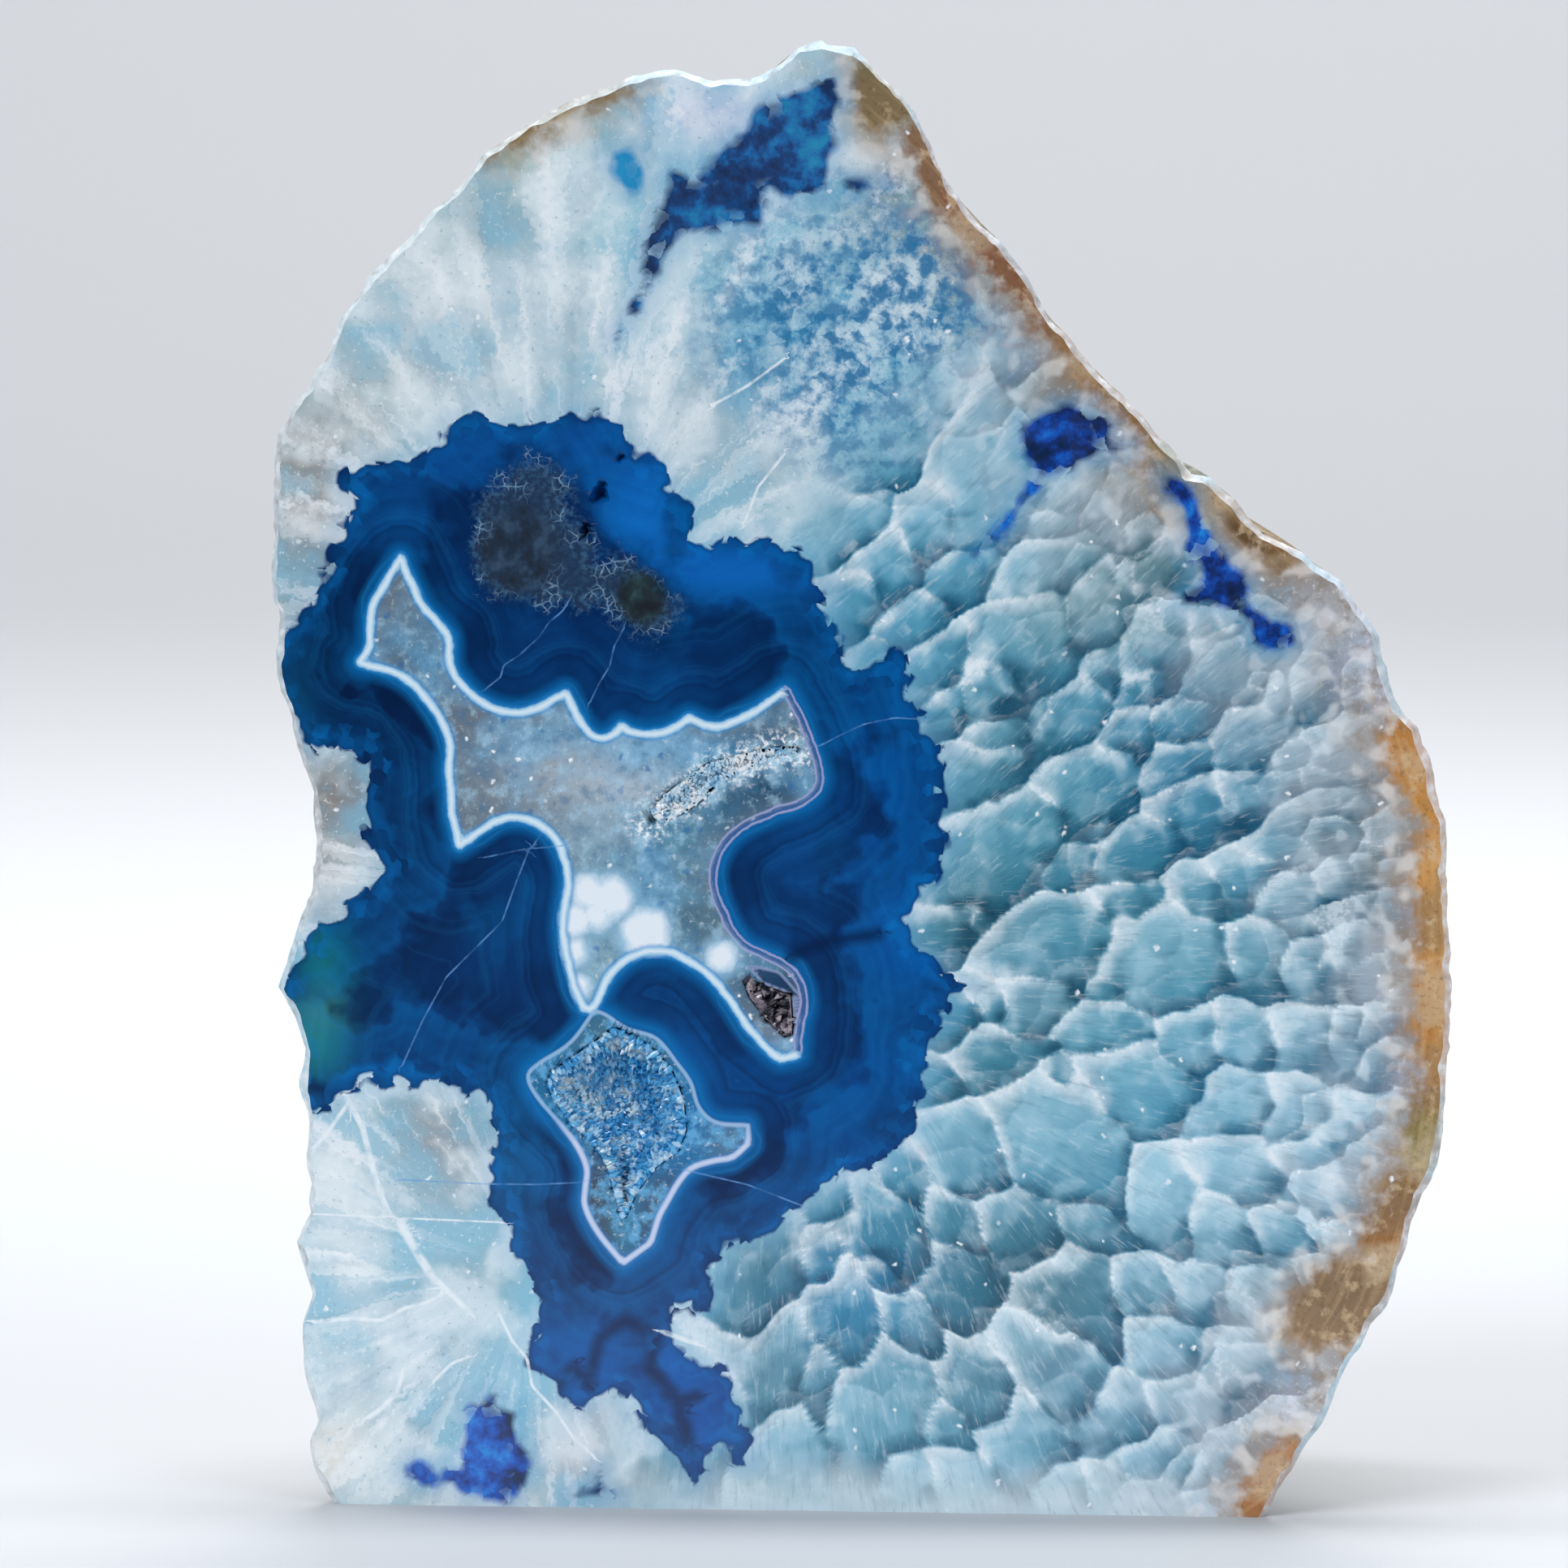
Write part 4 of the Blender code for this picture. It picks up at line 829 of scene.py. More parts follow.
IRON_TONES = (
    (71.0, 90.0, 4, 5, 0, "#d99a50", 0.8), (72.0, 76.0, 3, 6, 0, "#e0a860", 0.9),
    (70.5, 62.0, 3, 6, 0, "#c07a2a", 0.8), (72.0, 56.0, 3, 4, 0, "#dda45e", 0.8),
    (66.0, 35.0, 4, 3, 0, "#b4702f", 0.6), (60.0, 28.0, 5, 3, 0, "#6d5137", 0.7),
    (48.0, 124.5, 5, 1.4, -38, "#c0a070", 0.8), (47.0, 122.0, 4, 1.2, -38, "#54391f", 0.8),
)


def iron_fields(flat):
    """Distance into the nearest iron-stained piece, and its tone."""
    far = np.array([signed(rounded(outline), flat) for _, outline in IRON])
    nearest_piece = far.argmin(axis=0)
    base = np.array([paint(code)[:3] for code, _ in IRON])[nearest_piece]
    return far.min(axis=0), toned(flat, base, IRON_TONES)


def lay_fields(made):
    """Writes what the face's material reads, at every point of the stone, from its place alone."""
    mesh = made.data
    place = np.empty(len(mesh.vertices) * 3, np.float32)
    mesh.vertices.foreach_get("co", place)
    place = place.reshape(-1, 3).astype(float) / MM
    flat = place[:, [0, 2]]

    def store(name, values):
        values = np.asarray(values, np.float32)
        if values.ndim == 1:
            mesh.attributes.new(name, "FLOAT", "POINT").data.foreach_set("value", values)
        elif values.shape[1] == 2:
            values = np.insert(values, 2, 0, axis=1)
            mesh.attributes.new(name, "FLOAT_VECTOR", "POINT").data.foreach_set("vector", values.ravel())
        else:
            values = np.insert(values, 3, 1, axis=1)
            mesh.attributes.new(name, "FLOAT_COLOR", "POINT").data.foreach_set("color", values.ravel())

    store("quartz_tone", toned(flat, "#8ecbde", QUARTZ_TONES))
    store("agate_tone", toned(flat, "#033a70", AGATE_TONES))
    store("star_tone", toned(flat, "#728390", STAR_TONES))
    store("pocket_tone", toned(flat, "#2a6f9c", POCKET_TONES))
    agate, star, pocket = (signed(rounded(line), flat) for line in (AGATE, STAR, POCKET))
    store("agate", agate)
    store("star", star)
    store("pocket", pocket)
    store("hollow_lines", np.minimum(star, pocket))
    curve = rounded(STAR)
    far, which, _ = nearest(curve, flat, True)
    corners = [np.linalg.norm(curve - corner, axis=1).argmin() for corner in (STAR_THIN_FROM, STAR_THIN_TO)]
    store("star_thin", (which >= corners[0]) & (which < corners[1]))
    store("lobes", np.min([np.linalg.norm(flat - (x, z), axis=1) - r for x, z, r in LOBES], axis=0))
    store("pane", signed(rounded(PANE), flat))
    dyes = np.array([signed(rounded(line), flat) for line in DYED.values()])
    store("dyed", dyes.min(axis=0))
    store("dyed_royal", np.isin(dyes.argmin(axis=0), [1, 2, 3]))
    store("dyed_cyan", dyes.argmin(axis=0) == 6)
    store("seam_far", nearest(np.array(STAR_FISSURE)[:, :2], flat, False)[0])
    store("patch", signed(rounded(PATCH), flat))
    middles = [np.hypot((flat[:, 0] - x) / a, (flat[:, 1] - z) / b) for x, z, a, b in PATCH_MIDDLES]
    store("patch_middle", np.min(middles, axis=0))
    store("patch_second", middles[1] < middles[0])
    value, best = lines_field(flat, HAIRLINES, [1.0] * len(HAIRLINES))
    store("hairline", value)
    store("hairline_far", best)
    value, best = lines_field(flat, VEINS, [1.0] * len(VEINS))
    store("vein", value)
    store("vein_far", best)
    value, best = lines_field(flat, [line for _, line in CLEAVAGES], [width for width, _ in CLEAVAGES])
    store("cleavage", value)
    store("cleavage_far", best)
    rim = rounded(RIM + SAWN_OFF, 1)
    far, _, _ = nearest(rim, flat, True)
    store("rim_far", far)
    smooth_rim = evened(np.array(RIM + SAWN_OFF), 14)
    depth_in, which, _ = nearest(smooth_rim, flat, True)
    start, end = smooth_rim[which], np.roll(smooth_rim, -1, axis=0)[which]
    share = np.clip(((flat - start) * (end - start)).sum(-1) / ((end - start) ** 2).sum(-1), 0, 1)
    length = np.linalg.norm(np.roll(smooth_rim, -1, axis=0) - smooth_rim, axis=1)
    along = np.concatenate([[0], np.cumsum(length)])[which] + share * length[which]
    store("growth", np.stack([along, depth_in], -1))
    for name, crystals, seed in (("crystal", CRYSTALS, 71), ("flake", small_crystals(5.5, 81), 91)):
        border, lit, light = mosaic(flat, crystals, seed)
        store(name + "_border", border)
        store(name + "_lit", lit)
        store(name + "_light", light)
    for number, apex in enumerate(FANS):
        ray = flat - np.array(apex)
        angle = np.arctan2(ray[:, 0], ray[:, 1])
        store(f"fan_{number}", np.stack([angle * 80, np.linalg.norm(ray, axis=1)], -1))
    for name, outline in (("mosaic", MOSAIC), ("shattered", SHATTERED)):
        store(name, signed(rounded(outline), flat))
    iron, tone = iron_fields(flat)
    store("iron", iron)
    store("iron_tone", tone)
    return place


def layered(add, ground, *layers):
    """Lays tones over a ground one after another. A layer is a tone, as a hex or an output, and the
    shares whose product says how much of it shows."""
    for tone, *shares in layers:
        tone = paint(tone) if isinstance(tone, str) else tone
        ground = add("Mix", {0: product(add, *shares), 6: ground, 7: tone}, out=2, data_type="RGBA")
    return ground


def product(add, *factors):
    """The product of several outputs and numbers."""
    total = factors[0]
    for factor in factors[1:]:
        total = add("Math", {0: total, 1: factor}, operation="MULTIPLY")
    return total


def face_patterns(add):
    """The patterns that the whole face shares, on its own plane in millimetres: a fine and a coarse
    grain, clouds, and small cells with bent sides."""
    place = add("VectorMath", {0: add("TexCoord", out="Object"), "Scale": 1 / MM}, operation="SCALE")
    split = add("SeparateXYZ", {0: place}).node
    place = add("CombineXYZ", {0: split.outputs[0], 1: split.outputs[2]})
    flat = {"noise_dimensions": "2D"}
    bend = add("TexNoise", {"Vector": place, "Scale": 0.8, "Detail": 2.0}, out="Color", **flat)
    bent = add("VectorMath", {0: place, 1: bend}, operation="ADD")
    cells = add("TexVoronoi", {"Vector": bent, "Scale": 0.62}, voronoi_dimensions="2D").node
    return {
        "place": place, "bent": bent, "height": split.outputs[2],
        "fine": add("TexNoise", {"Vector": place, "Scale": 1.3, "Detail": 4.0, "Roughness": 0.65},
                    out="Fac", **flat),
        "grain": add("TexNoise", {"Vector": place, "Scale": 0.42, "Detail": 4.0, "Roughness": 0.6},
                     out="Fac", **flat),
        "cloud": add("TexNoise", {"Vector": place, "Scale": 0.1, "Detail": 3.0, "Roughness": 0.5},
                     out="Fac", **flat),
        "soft": add("TexNoise", {"Vector": place, "Scale": 0.3, "Detail": 1.0}, out="Fac", **flat),
        "cell": add("SeparateColor", {0: cells.outputs["Color"]}), "cell_far": cells.outputs["Distance"],
    }


def field(add, name):
    """A number that the face carries at each point."""
    return add("Attribute", out="Fac", attribute_name=name)


def ragged(add, at):
    """How far, in millimetres, crystal tips push a border about: small steps, and a smooth sway."""
    sway = add("MapRange", {0: at["soft"], 1: 0.25, 2: 0.75, 3: -0.9, 4: 0.9})
    step = add("MapRange", {0: at["cell"], 3: -0.45, 4: 0.45})
    return add("Math", {0: sway, 1: step}, operation="ADD")


def quartz_crystals(add, at, ground):
    """Clear quartz crystals cut through, with light and shade painted into their colour: each is painted milky
    with a painted highlight on its lit side and teal with painted shade on the other, with a painted shadow in
    the crevice behind, and is made of flakes that do the same more faintly."""
    inside = add("MapRange", {0: field(add, "mosaic"), 1: 4.0, 2: -4.0})
    # shadow and depth are darkened teal tones; the crystal layers below use them as painted shade, depth for the
    # painted shadow in the crevices.
    shadow = add("Mix", {0: 1.0, 6: ground, 7: paint("#62a9be")}, out=2, data_type="RGBA",
                 blend_type="MULTIPLY")
    depth = add("Mix", {0: 1.0, 6: shadow, 7: paint("#4f8da2")}, out=2, data_type="RGBA",
                blend_type="MULTIPLY")
    small = add("MapRange", {0: field(add, "rim_far"), 1: 22.0, 2: 6.0, 3: 0.12, 4: 0.75})
    deep = product(add, inside, add("MapRange", {0: field(add, "rim_far"), 1: 8.0, 2: 28.0, 3: 0.2}))
    colour = add("Mix", {0: deep, 6: ground, 7: paint("#b9dae6")}, out=2, data_type="RGBA",
                 blend_type="MULTIPLY")
    for name, reach, strength in (("crystal", 1.0, 1.0), ("flake", 0.5, small)):
        lit = add("Math", {0: field(add, name + "_lit"),
                           1: add("MapRange", {0: at["soft"], 1: 0.25, 2: 0.75, 3: -0.22, 4: 0.22})},
                  operation="ADD")
        border = add("Math", {0: field(add, name + "_border"),
                              1: add("MapRange", {0: at["fine"], 1: 0.25, 2: 0.75, 3: -0.2, 4: 0.2})},
                     operation="ADD")
        light = field(add, name + "_light")
        colour = layered(
            add, colour,
            (shadow, add("MapRange", {0: light, 1: 0.2, 2: -1.0}), inside, strength, 0.75),
            ("#b4dbe9", add("MapRange", {0: light, 1: 0.2, 2: 1.2}), inside, strength, 0.45),
            # Painted shade on each crystal's side away from LIT_FROM, and painted light on its side towards it.
            (shadow, add("MapRange", {0: lit, 1: 0.25, 2: -0.75}), inside, strength, 0.9),
            ("#b4dcea", add("MapRange", {0: lit, 1: 0.1, 2: 1.05}), inside, strength, 0.6),
            # A painted shadow in the crevice along the border on the shaded side; a painted pale edge and a
            # painted white highlight line along the border on the lit side.
            (depth, add("MapRange", {0: border, 1: 2.0 * reach, 2: 0.0}),
             add("MapRange", {0: lit, 1: 0.0, 2: -0.35}), inside, strength, 0.95),
            ("#f0f9fc", add("MapRange", {0: border, 1: 1.5 * reach, 2: 0.0}),
             add("MapRange", {0: lit, 1: 0.0, 2: 0.4}), inside, strength, 0.85),
            ("#f4fafc", add("MapRange", {0: border, 1: 0.3 * reach, 2: 0.04}),
             add("MapRange", {0: lit, 1: -0.2, 2: 0.3}), inside, strength, 0.8),
        )
    scratch = add("VectorMath", {0: add("Attribute", out="Vector", attribute_name="growth"),
                                 1: (1.4, 0.22, 1.0)}, operation="MULTIPLY")
    scratch = add("TexNoise", {"Vector": scratch, "Scale": 1.0, "Detail": 4.0, "Roughness": 0.65},
                  out="Fac", noise_dimensions="2D")
    foot = add("MapRange", {0: add("Math", {0: at["height"], 1: product(add, at["cloud"], -8.0)},
                                   operation="ADD"), 1: 3.5, 2: -3.0})
    return layered(
        add, colour,
        ("#e2f1f6", foot, inside, 0.75),
        ("#d8e0e6", add("MapRange", {0: field(add, "rim_far"), 1: 26.0, 2: 10.0}), inside,
         add("MapRange", {0: at["cloud"], 1: 0.4, 2: 0.6}), 0.5),
        (depth, add("MapRange", {0: scratch, 1: 0.44, 2: 0.3}), inside, 0.2),
        ("#eef7fa", add("MapRange", {0: scratch, 1: 0.58, 2: 0.7}), inside, 0.22),
        ("#f4fafc", add("MapRange", {0: at["soft"], 1: 0.6, 2: 0.72}), inside, small, 0.6),
    )


def quartz_fans(add, at, ground):
    """Milky quartz that grew in fans from the agate: clouds and blades drawn out along each fan."""
    outside = add("MapRange", {0: field(add, "mosaic"), 1: -3.0, 2: 6.0})
    second = add("MapRange", {0: at["height"], 1: 60.0, 2: 90.0})
    fan = add("Mix", {0: second, 4: add("Attribute", out="Vector", attribute_name="fan_0"),
                      5: add("Attribute", out="Vector", attribute_name="fan_1")}, out=1,
              data_type="VECTOR")
    far = add("SeparateXYZ", {0: fan}, out=1)
    sway = add("VectorMath", {0: at["bent"], 1: at["place"]}, operation="SUBTRACT")
    fan = add("VectorMath", {0: fan, 1: add("VectorMath", {0: sway, "Scale": 5.0}, operation="SCALE")},
              operation="ADD")
    long = add("VectorMath", {0: fan, 1: (0.12, 0.045, 1.0)}, operation="MULTIPLY")
    blade = add("TexNoise", {"Vector": long, "Scale": 1.0, "Detail": 5.0, "Roughness": 0.62}, out="Fac",
                noise_dimensions="2D")
    plane = add("TexVoronoi", {"Vector": long, "Scale": 1.1}, out="Color", voronoi_dimensions="2D")
    plane = add("SeparateColor", {0: plane})
    clear_of_middle = add("MapRange", {0: far, 1: 6.0, 2: 22.0})
    return layered(
        add, ground,
        ("#f4fafb", add("MapRange", {0: at["cloud"], 1: 0.46, 2: 0.62}), outside, 0.6),
        ("#8cc6dc", add("MapRange", {0: at["cloud"], 1: 0.47, 2: 0.34}), outside, 0.55),
        ("#8fc0d6", add("MapRange", {0: plane, 1: 0.4, 2: 0.0}), outside, clear_of_middle, 0.25),
        ("#fafdfd", add("MapRange", {0: plane, 1: 0.6, 2: 1.0}), outside, clear_of_middle, 0.4),
        ("#7f9fb0", add("MapRange", {0: blade, 1: 0.46, 2: 0.28}), outside, clear_of_middle, 0.32),
        ("#fbfdfe", add("MapRange", {0: blade, 1: 0.54, 2: 0.7}), outside, clear_of_middle, 0.7),
        ("#f9fcfd", add("MapRange", {0: at["fine"], 1: 0.62, 2: 0.72}), outside, 0.5),
        ("#6f9aae", add("MapRange", {0: at["fine"], 1: 0.36, 2: 0.26}), outside, 0.5),
    )


def shattered_quartz(add, at, ground):
    """Small broken crystals in the upper right: pale chips with cyan dye in the gaps."""
    inside = add("MapRange", {0: field(add, "shattered"), 1: 5.0, 2: -8.0})
    mixed = add("Math", {0: at["grain"], 1: add("MapRange", {0: at["cell"], 3: -0.07, 4: 0.07})},
                operation="ADD")
    return layered(
        add, ground,
        ("#4692bd", add("MapRange", {0: mixed, 1: 0.64, 2: 0.44}), inside, 0.8),
        ("#2270a0", add("MapRange", {0: mixed, 1: 0.5, 2: 0.36}), inside, 0.75),
        ("#c4e0ec", add("MapRange", {0: mixed, 1: 0.56, 2: 0.76}), inside, 0.4),
        ("#a6cfe0", add("MapRange", {0: at["cell"], 1: 0.5, 2: 1.0}), inside, 0.35),
        ("#1f6d9f", add("MapRange", {0: at["fine"], 1: 0.42, 2: 0.3}), inside, 0.5),
    )


def rind_in_section(add, at, ground):
    """The rind's chalcedony, cut through: listed brown pieces, and beige mottling beside the rim."""
    sway = add("MapRange", {0: at["grain"], 1: 0.2, 2: 0.8, 3: -1.3, 4: 1.3})
    band = add("Math", {0: field(add, "iron"), 1: sway}, operation="ADD")
    layer = add("VectorMath", {0: add("Attribute", out="Vector", attribute_name="growth"),
                               1: (0.07, 1.2, 1.0)}, operation="MULTIPLY")
    layer = add("TexNoise", {"Vector": layer, "Scale": 1.0, "Detail": 4.0}, out="Fac",
                noise_dimensions="2D")
    tone = layered(
        add, add("Attribute", out="Color", attribute_name="iron_tone"),
        ("#6b4a2a", add("MapRange", {0: layer, 1: 0.5, 2: 0.3}), 0.18),
        ("#8a6c4a", add("MapRange", {0: at["cloud"], 1: 0.52, 2: 0.38}), 0.6),
        ("#edc890", add("MapRange", {0: layer, 1: 0.52, 2: 0.7}), 0.18),
        ("#d9c3a0", add("MapRange", {0: at["cloud"], 1: 0.52, 2: 0.66}), 0.5),
        ("#e9c99a", add("MapRange", {0: at["grain"], 1: 0.54, 2: 0.68}), 0.5),
        ("#5f4228", add("MapRange", {0: at["fine"], 1: 0.46, 2: 0.3}), 0.4),
    )
    right = add("MapRange", {0: add("SeparateXYZ", {0: at["place"]}), 1: 8.0, 2: 30.0})
    edge = add("MapRange", {0: field(add, "rim_far"), 1: 11.0, 2: 1.5})
    spots = add("MapRange", {0: at["cloud"], 1: 0.36, 2: 0.6, 3: 0.35})
    beige = add("Mix", {0: add("MapRange", {0: at["height"], 1: 112.0, 2: 124.0}), 6: paint("#b3a8a4"),
                        7: paint("#857768")}, out=2, data_type="RGBA")
    return layered(
        add, ground,
        ("#8b8678", add("MapRange", {0: field(add, "rim_far"), 1: 15.0, 2: 5.0}), right,
         add("MapRange", {0: at["height"], 1: 120.0, 2: 134.0}), spots, 0.75),
        (beige, edge, right, spots, 0.85),
        ("#e0dde8", edge, right, add("MapRange", {0: at["cloud"], 1: 0.5, 2: 0.36}), 0.6),
        ("#8f7c66", edge, right, add("MapRange", {0: at["grain"], 1: 0.54, 2: 0.36}), 0.6),
        ("#efeae6", edge, right, add("MapRange", {0: at["fine"], 1: 0.56, 2: 0.72}), 0.6),
        ("#f3f1f0", edge, right, add("MapRange", {0: at["soft"], 1: 0.55, 2: 0.68}), 0.5),
        ("#a98a6c", add("MapRange", {0: band, 1: 5.0, 2: 1.0}), 0.65),
        (tone, add("MapRange", {0: band, 1: 2.2, 2: 0.2}), 0.92),
        ("#f1e9e0", add("MapRange", {0: band, 1: 6.0, 2: 2.0}), add("MapRange", {0: band, 1: 0.0, 2: 2.0}),
         add("MapRange", {0: at["soft"], 1: 0.5, 2: 0.66}), 0.5),
    )


def banded_agate(add, at, depth):
    """Dyed agate: navy with azure zones, and fine lines that run parallel to the star and the pocket."""
    tone = add("Attribute", out="Color", attribute_name="agate_tone")
    hollow = field(add, "hollow_lines")
    ring = add("Math", {0: hollow, 1: product(add, at["cloud"], 3.0)}, operation="ADD")
    lines = add("TexNoise", {"W": ring, "Scale": 0.62, "Detail": 2.0, "Roughness": 0.5}, out="Fac",
                noise_dimensions="1D")
    zones = add("TexNoise", {"W": add("Math", {0: depth, 1: product(add, at["cloud"], 16.0)},
                                      operation="ADD"), "Scale": 0.15, "Detail": 1.0}, out="Fac",
                noise_dimensions="1D")
    near = add("MapRange", {0: hollow, 1: 9.0, 2: 1.5, 3: 0.15, 4: 1.0})
    return layered(
        add, tone,
        ("#012048", add("MapRange", {0: zones, 1: 0.48, 2: 0.28}), 0.6),
        ("#0579c4", add("MapRange", {0: zones, 1: 0.54, 2: 0.74}), 0.4),
        ("#011f4a", add("MapRange", {0: at["cloud"], 1: 0.5, 2: 0.36}), 0.5),
        ("#01193c", add("MapRange", {0: add("SeparateXYZ", {0: at["place"]}), 1: -34.0, 2: -58.0}),
         add("MapRange", {0: at["height"], 1: 78.0, 2: 92.0}), 0.55),
        ("#0579c4", add("MapRange", {0: at["cloud"], 1: 0.55, 2: 0.7}), 0.15),
        ("#011a40", add("MapRange", {0: lines, 1: 0.48, 2: 0.34}), near, 0.5),
        ("#1f82c4", add("MapRange", {0: lines, 1: 0.54, 2: 0.68}), near, 0.45),
        ("#0870b4", add("MapRange", {0: hollow, 1: 2.4, 2: 0.7}), 0.7),
        ("#01204c", add("MapRange", {0: add("Math", {0: field(add, "vein")}, operation="ABSOLUTE"), 1: 1.5,
                                     2: 0.2}), add("MapRange", {0: field(add, "vein_far"), 1: 2.0, 2: 1.0}), 0.8),
        ("#0478c8", add("MapRange", {0: depth, 1: -3.2, 2: -1.4}), at["cell"], 0.45),
        ("#02265a", add("MapRange", {0: depth, 1: -0.9, 2: -0.2}), 0.5),
    )


def star_fill(add, at):
    """Clear quartz in the star: listed soft tones, a sugary grain, blue specks and a few painted glints."""
    tone = add("Attribute", out="Color", attribute_name="star_tone")
    seam = add("MapRange", {0: field(add, "seam_far"), 1: 3.4, 2: 1.2})
    return layered(
        add, tone,
        ("#7cbce2", add("MapRange", {0: at["cloud"], 1: 0.46, 2: 0.64}), 0.5),
        ("#46769a", add("MapRange", {0: at["grain"], 1: 0.47, 2: 0.3}), 0.45),
        ("#b4dbf0", add("MapRange", {0: at["grain"], 1: 0.52, 2: 0.7}), 0.5),
        ("#2f5f86", add("MapRange", {0: at["fine"], 1: 0.4, 2: 0.26}), 0.35),
        ("#e3eef5", add("MapRange", {0: at["fine"], 1: 0.62, 2: 0.74}), 0.4),
        ("#bfe3f4", seam, add("MapRange", {0: at["grain"], 1: 0.4, 2: 0.6}), 0.75),
        ("#ffffff", seam, add("MapRange", {0: at["fine"], 1: 0.5, 2: 0.62}), 0.9),
        ("#2c6ea8", add("MapRange", {0: at["cell"], 1: 0.9, 2: 0.97}),
         add("MapRange", {0: at["cell_far"], 1: 0.35, 2: 0.15}), 0.6),
        # Painted glints: tiny white specks that stand in for sparkles of reflected light.
        ("#ffffff", add("MapRange", {0: at["cell"], 1: 0.08, 2: 0.03}),
         add("MapRange", {0: at["cell_far"], 1: 0.22, 2: 0.08}), 0.95),
    )


def pocket_fill(add, at):
    """The flat part of the lower pocket: blue quartz with grey tips."""
    tone = add("Attribute", out="Color", attribute_name="pocket_tone")
    return layered(
        add, tone,
        ("#6fb8e4", add("MapRange", {0: at["grain"], 1: 0.46, 2: 0.62}), 0.75),
        ("#e4f0f6", add("MapRange", {0: at["fine"], 1: 0.6, 2: 0.72}), 0.5),
        ("#1b4f78", add("MapRange", {0: at["fine"], 1: 0.4, 2: 0.28}), 0.3),
    )


def white_lines(add, at, ground):
    """The bright band round the star and the lower pocket, the double thin line on the star's right,
    the rounded white lumps, and the pale border of the pocket and of the flat pane."""
    star = add("Math", {0: field(add, "star"),
                        1: add("MapRange", {0: at["grain"], 1: 0.2, 2: 0.8, 3: -0.16, 4: 0.16})},
               operation="ADD")
    thin = field(add, "star_thin")
    thick = add("Math", {0: 1.0, 1: thin}, operation="SUBTRACT")
    away = add("Math", {0: star}, operation="ABSOLUTE")
    pair = add("Math", {0: add("Math", {0: away, 1: 0.42}, operation="SUBTRACT")}, operation="ABSOLUTE")
    lobes = add("Math", {0: field(add, "lobes"),
                         1: add("MapRange", {0: at["grain"], 1: 0.2, 2: 0.8, 3: -0.5, 4: 0.5})},
                operation="ADD")
    within = add("MapRange", {0: star, 1: 0.9, 2: 0.5})
    off = add("Math", {0: field(add, "pocket")}, operation="ABSOLUTE")
    low = add("MapRange", {0: at["height"], 1: 49.0, 2: 45.5})
    pane = field(add, "pane")
    pane_line = add("MapRange", {0: add("Math", {0: pane}, operation="ABSOLUTE"), 1: 0.26, 2: 0.08})
    return layered(
        add, ground,
        ("#15395e", add("MapRange", {0: pane, 1: 0.05, 2: -0.05}), 0.85),
        ("#98a3c8", pane_line, 0.7),
        ("#46629b", add("MapRange", {0: away, 1: 0.6, 2: 0.4}), thin, 0.6),
        ("#a4abd3", add("MapRange", {0: pair, 1: 0.22, 2: 0.06}), thin, 0.9),
        ("#9fcde8", add("MapRange", {0: lobes, 1: 1.6, 2: -0.2}), within, 0.85),
        ("#f3f9fd", add("MapRange", {0: lobes, 1: 0.6, 2: -0.7}), within, 0.97),
        ("#2f93d6", add("MapRange", {0: away, 1: 1.0, 2: 0.5}), thick, 0.7),
        ("#a3cfea", add("MapRange", {0: away, 1: 0.6, 2: 0.4}), thick),
        ("#e0f0f8", add("MapRange", {0: away, 1: 0.4, 2: 0.1}), thick),
        ("#9bc0e2", add("MapRange", {0: off, 1: 0.34, 2: 0.12}), 0.9),
        ("#3f86c4", add("MapRange", {0: off, 1: 0.9, 2: 0.45}), low, 0.5),
        ("#a6bbe0", add("MapRange", {0: off, 1: 0.48, 2: 0.3}), low),
        ("#d9e2f6", add("MapRange", {0: off, 1: 0.32, 2: 0.08}), low, 0.8),
    )


def dyed_cracks(add, at, push, ground):
    """Dye soaked into cracked quartz: deep blue, teal where it is thin, royal blue on the right."""
    depth = add("Math", {0: field(add, "dyed"), 1: product(add, push, 0.5)}, operation="ADD")
    mixed = add("Math", {0: product(add, at["grain"], 0.5), 1: product(add, at["cloud"], 0.5)},
                operation="ADD")
    blue = stops(add("ValToRGB", {0: mixed}), (0.38, "#011f50"), (0.48, "#023a76"), (0.56, "#0566a8"),
                 (0.66, "#1389b4"))
    strong = stops(add("ValToRGB", {0: mixed}), (0.38, "#011540"), (0.46, "#02246a"), (0.53, "#0543a4"),
                   (0.6, "#0b62c8"), (0.68, "#1a8ade"))
    tint = add("Mix", {0: field(add, "dyed_royal"), 6: blue, 7: strong}, out=2, data_type="RGBA")
    tint = layered(add, tint, ("#1b97cc", field(add, "dyed_cyan"), 0.85))
    return layered(
        add, ground,
        ("#4a9cc9", add("MapRange", {0: depth, 1: 2.6, 2: 0.0}), 0.45),
        (tint, add("MapRange", {0: depth, 1: 0.5, 2: -0.5}), 0.96),
        ("#a9cfe4", add("MapRange", {0: at["cell"], 1: 0.86, 2: 1.0}),
         add("MapRange", {0: depth, 1: -2.0, 2: 0.2}), add("MapRange", {0: depth, 1: 0.8, 2: 0.2}), 0.6),
    )


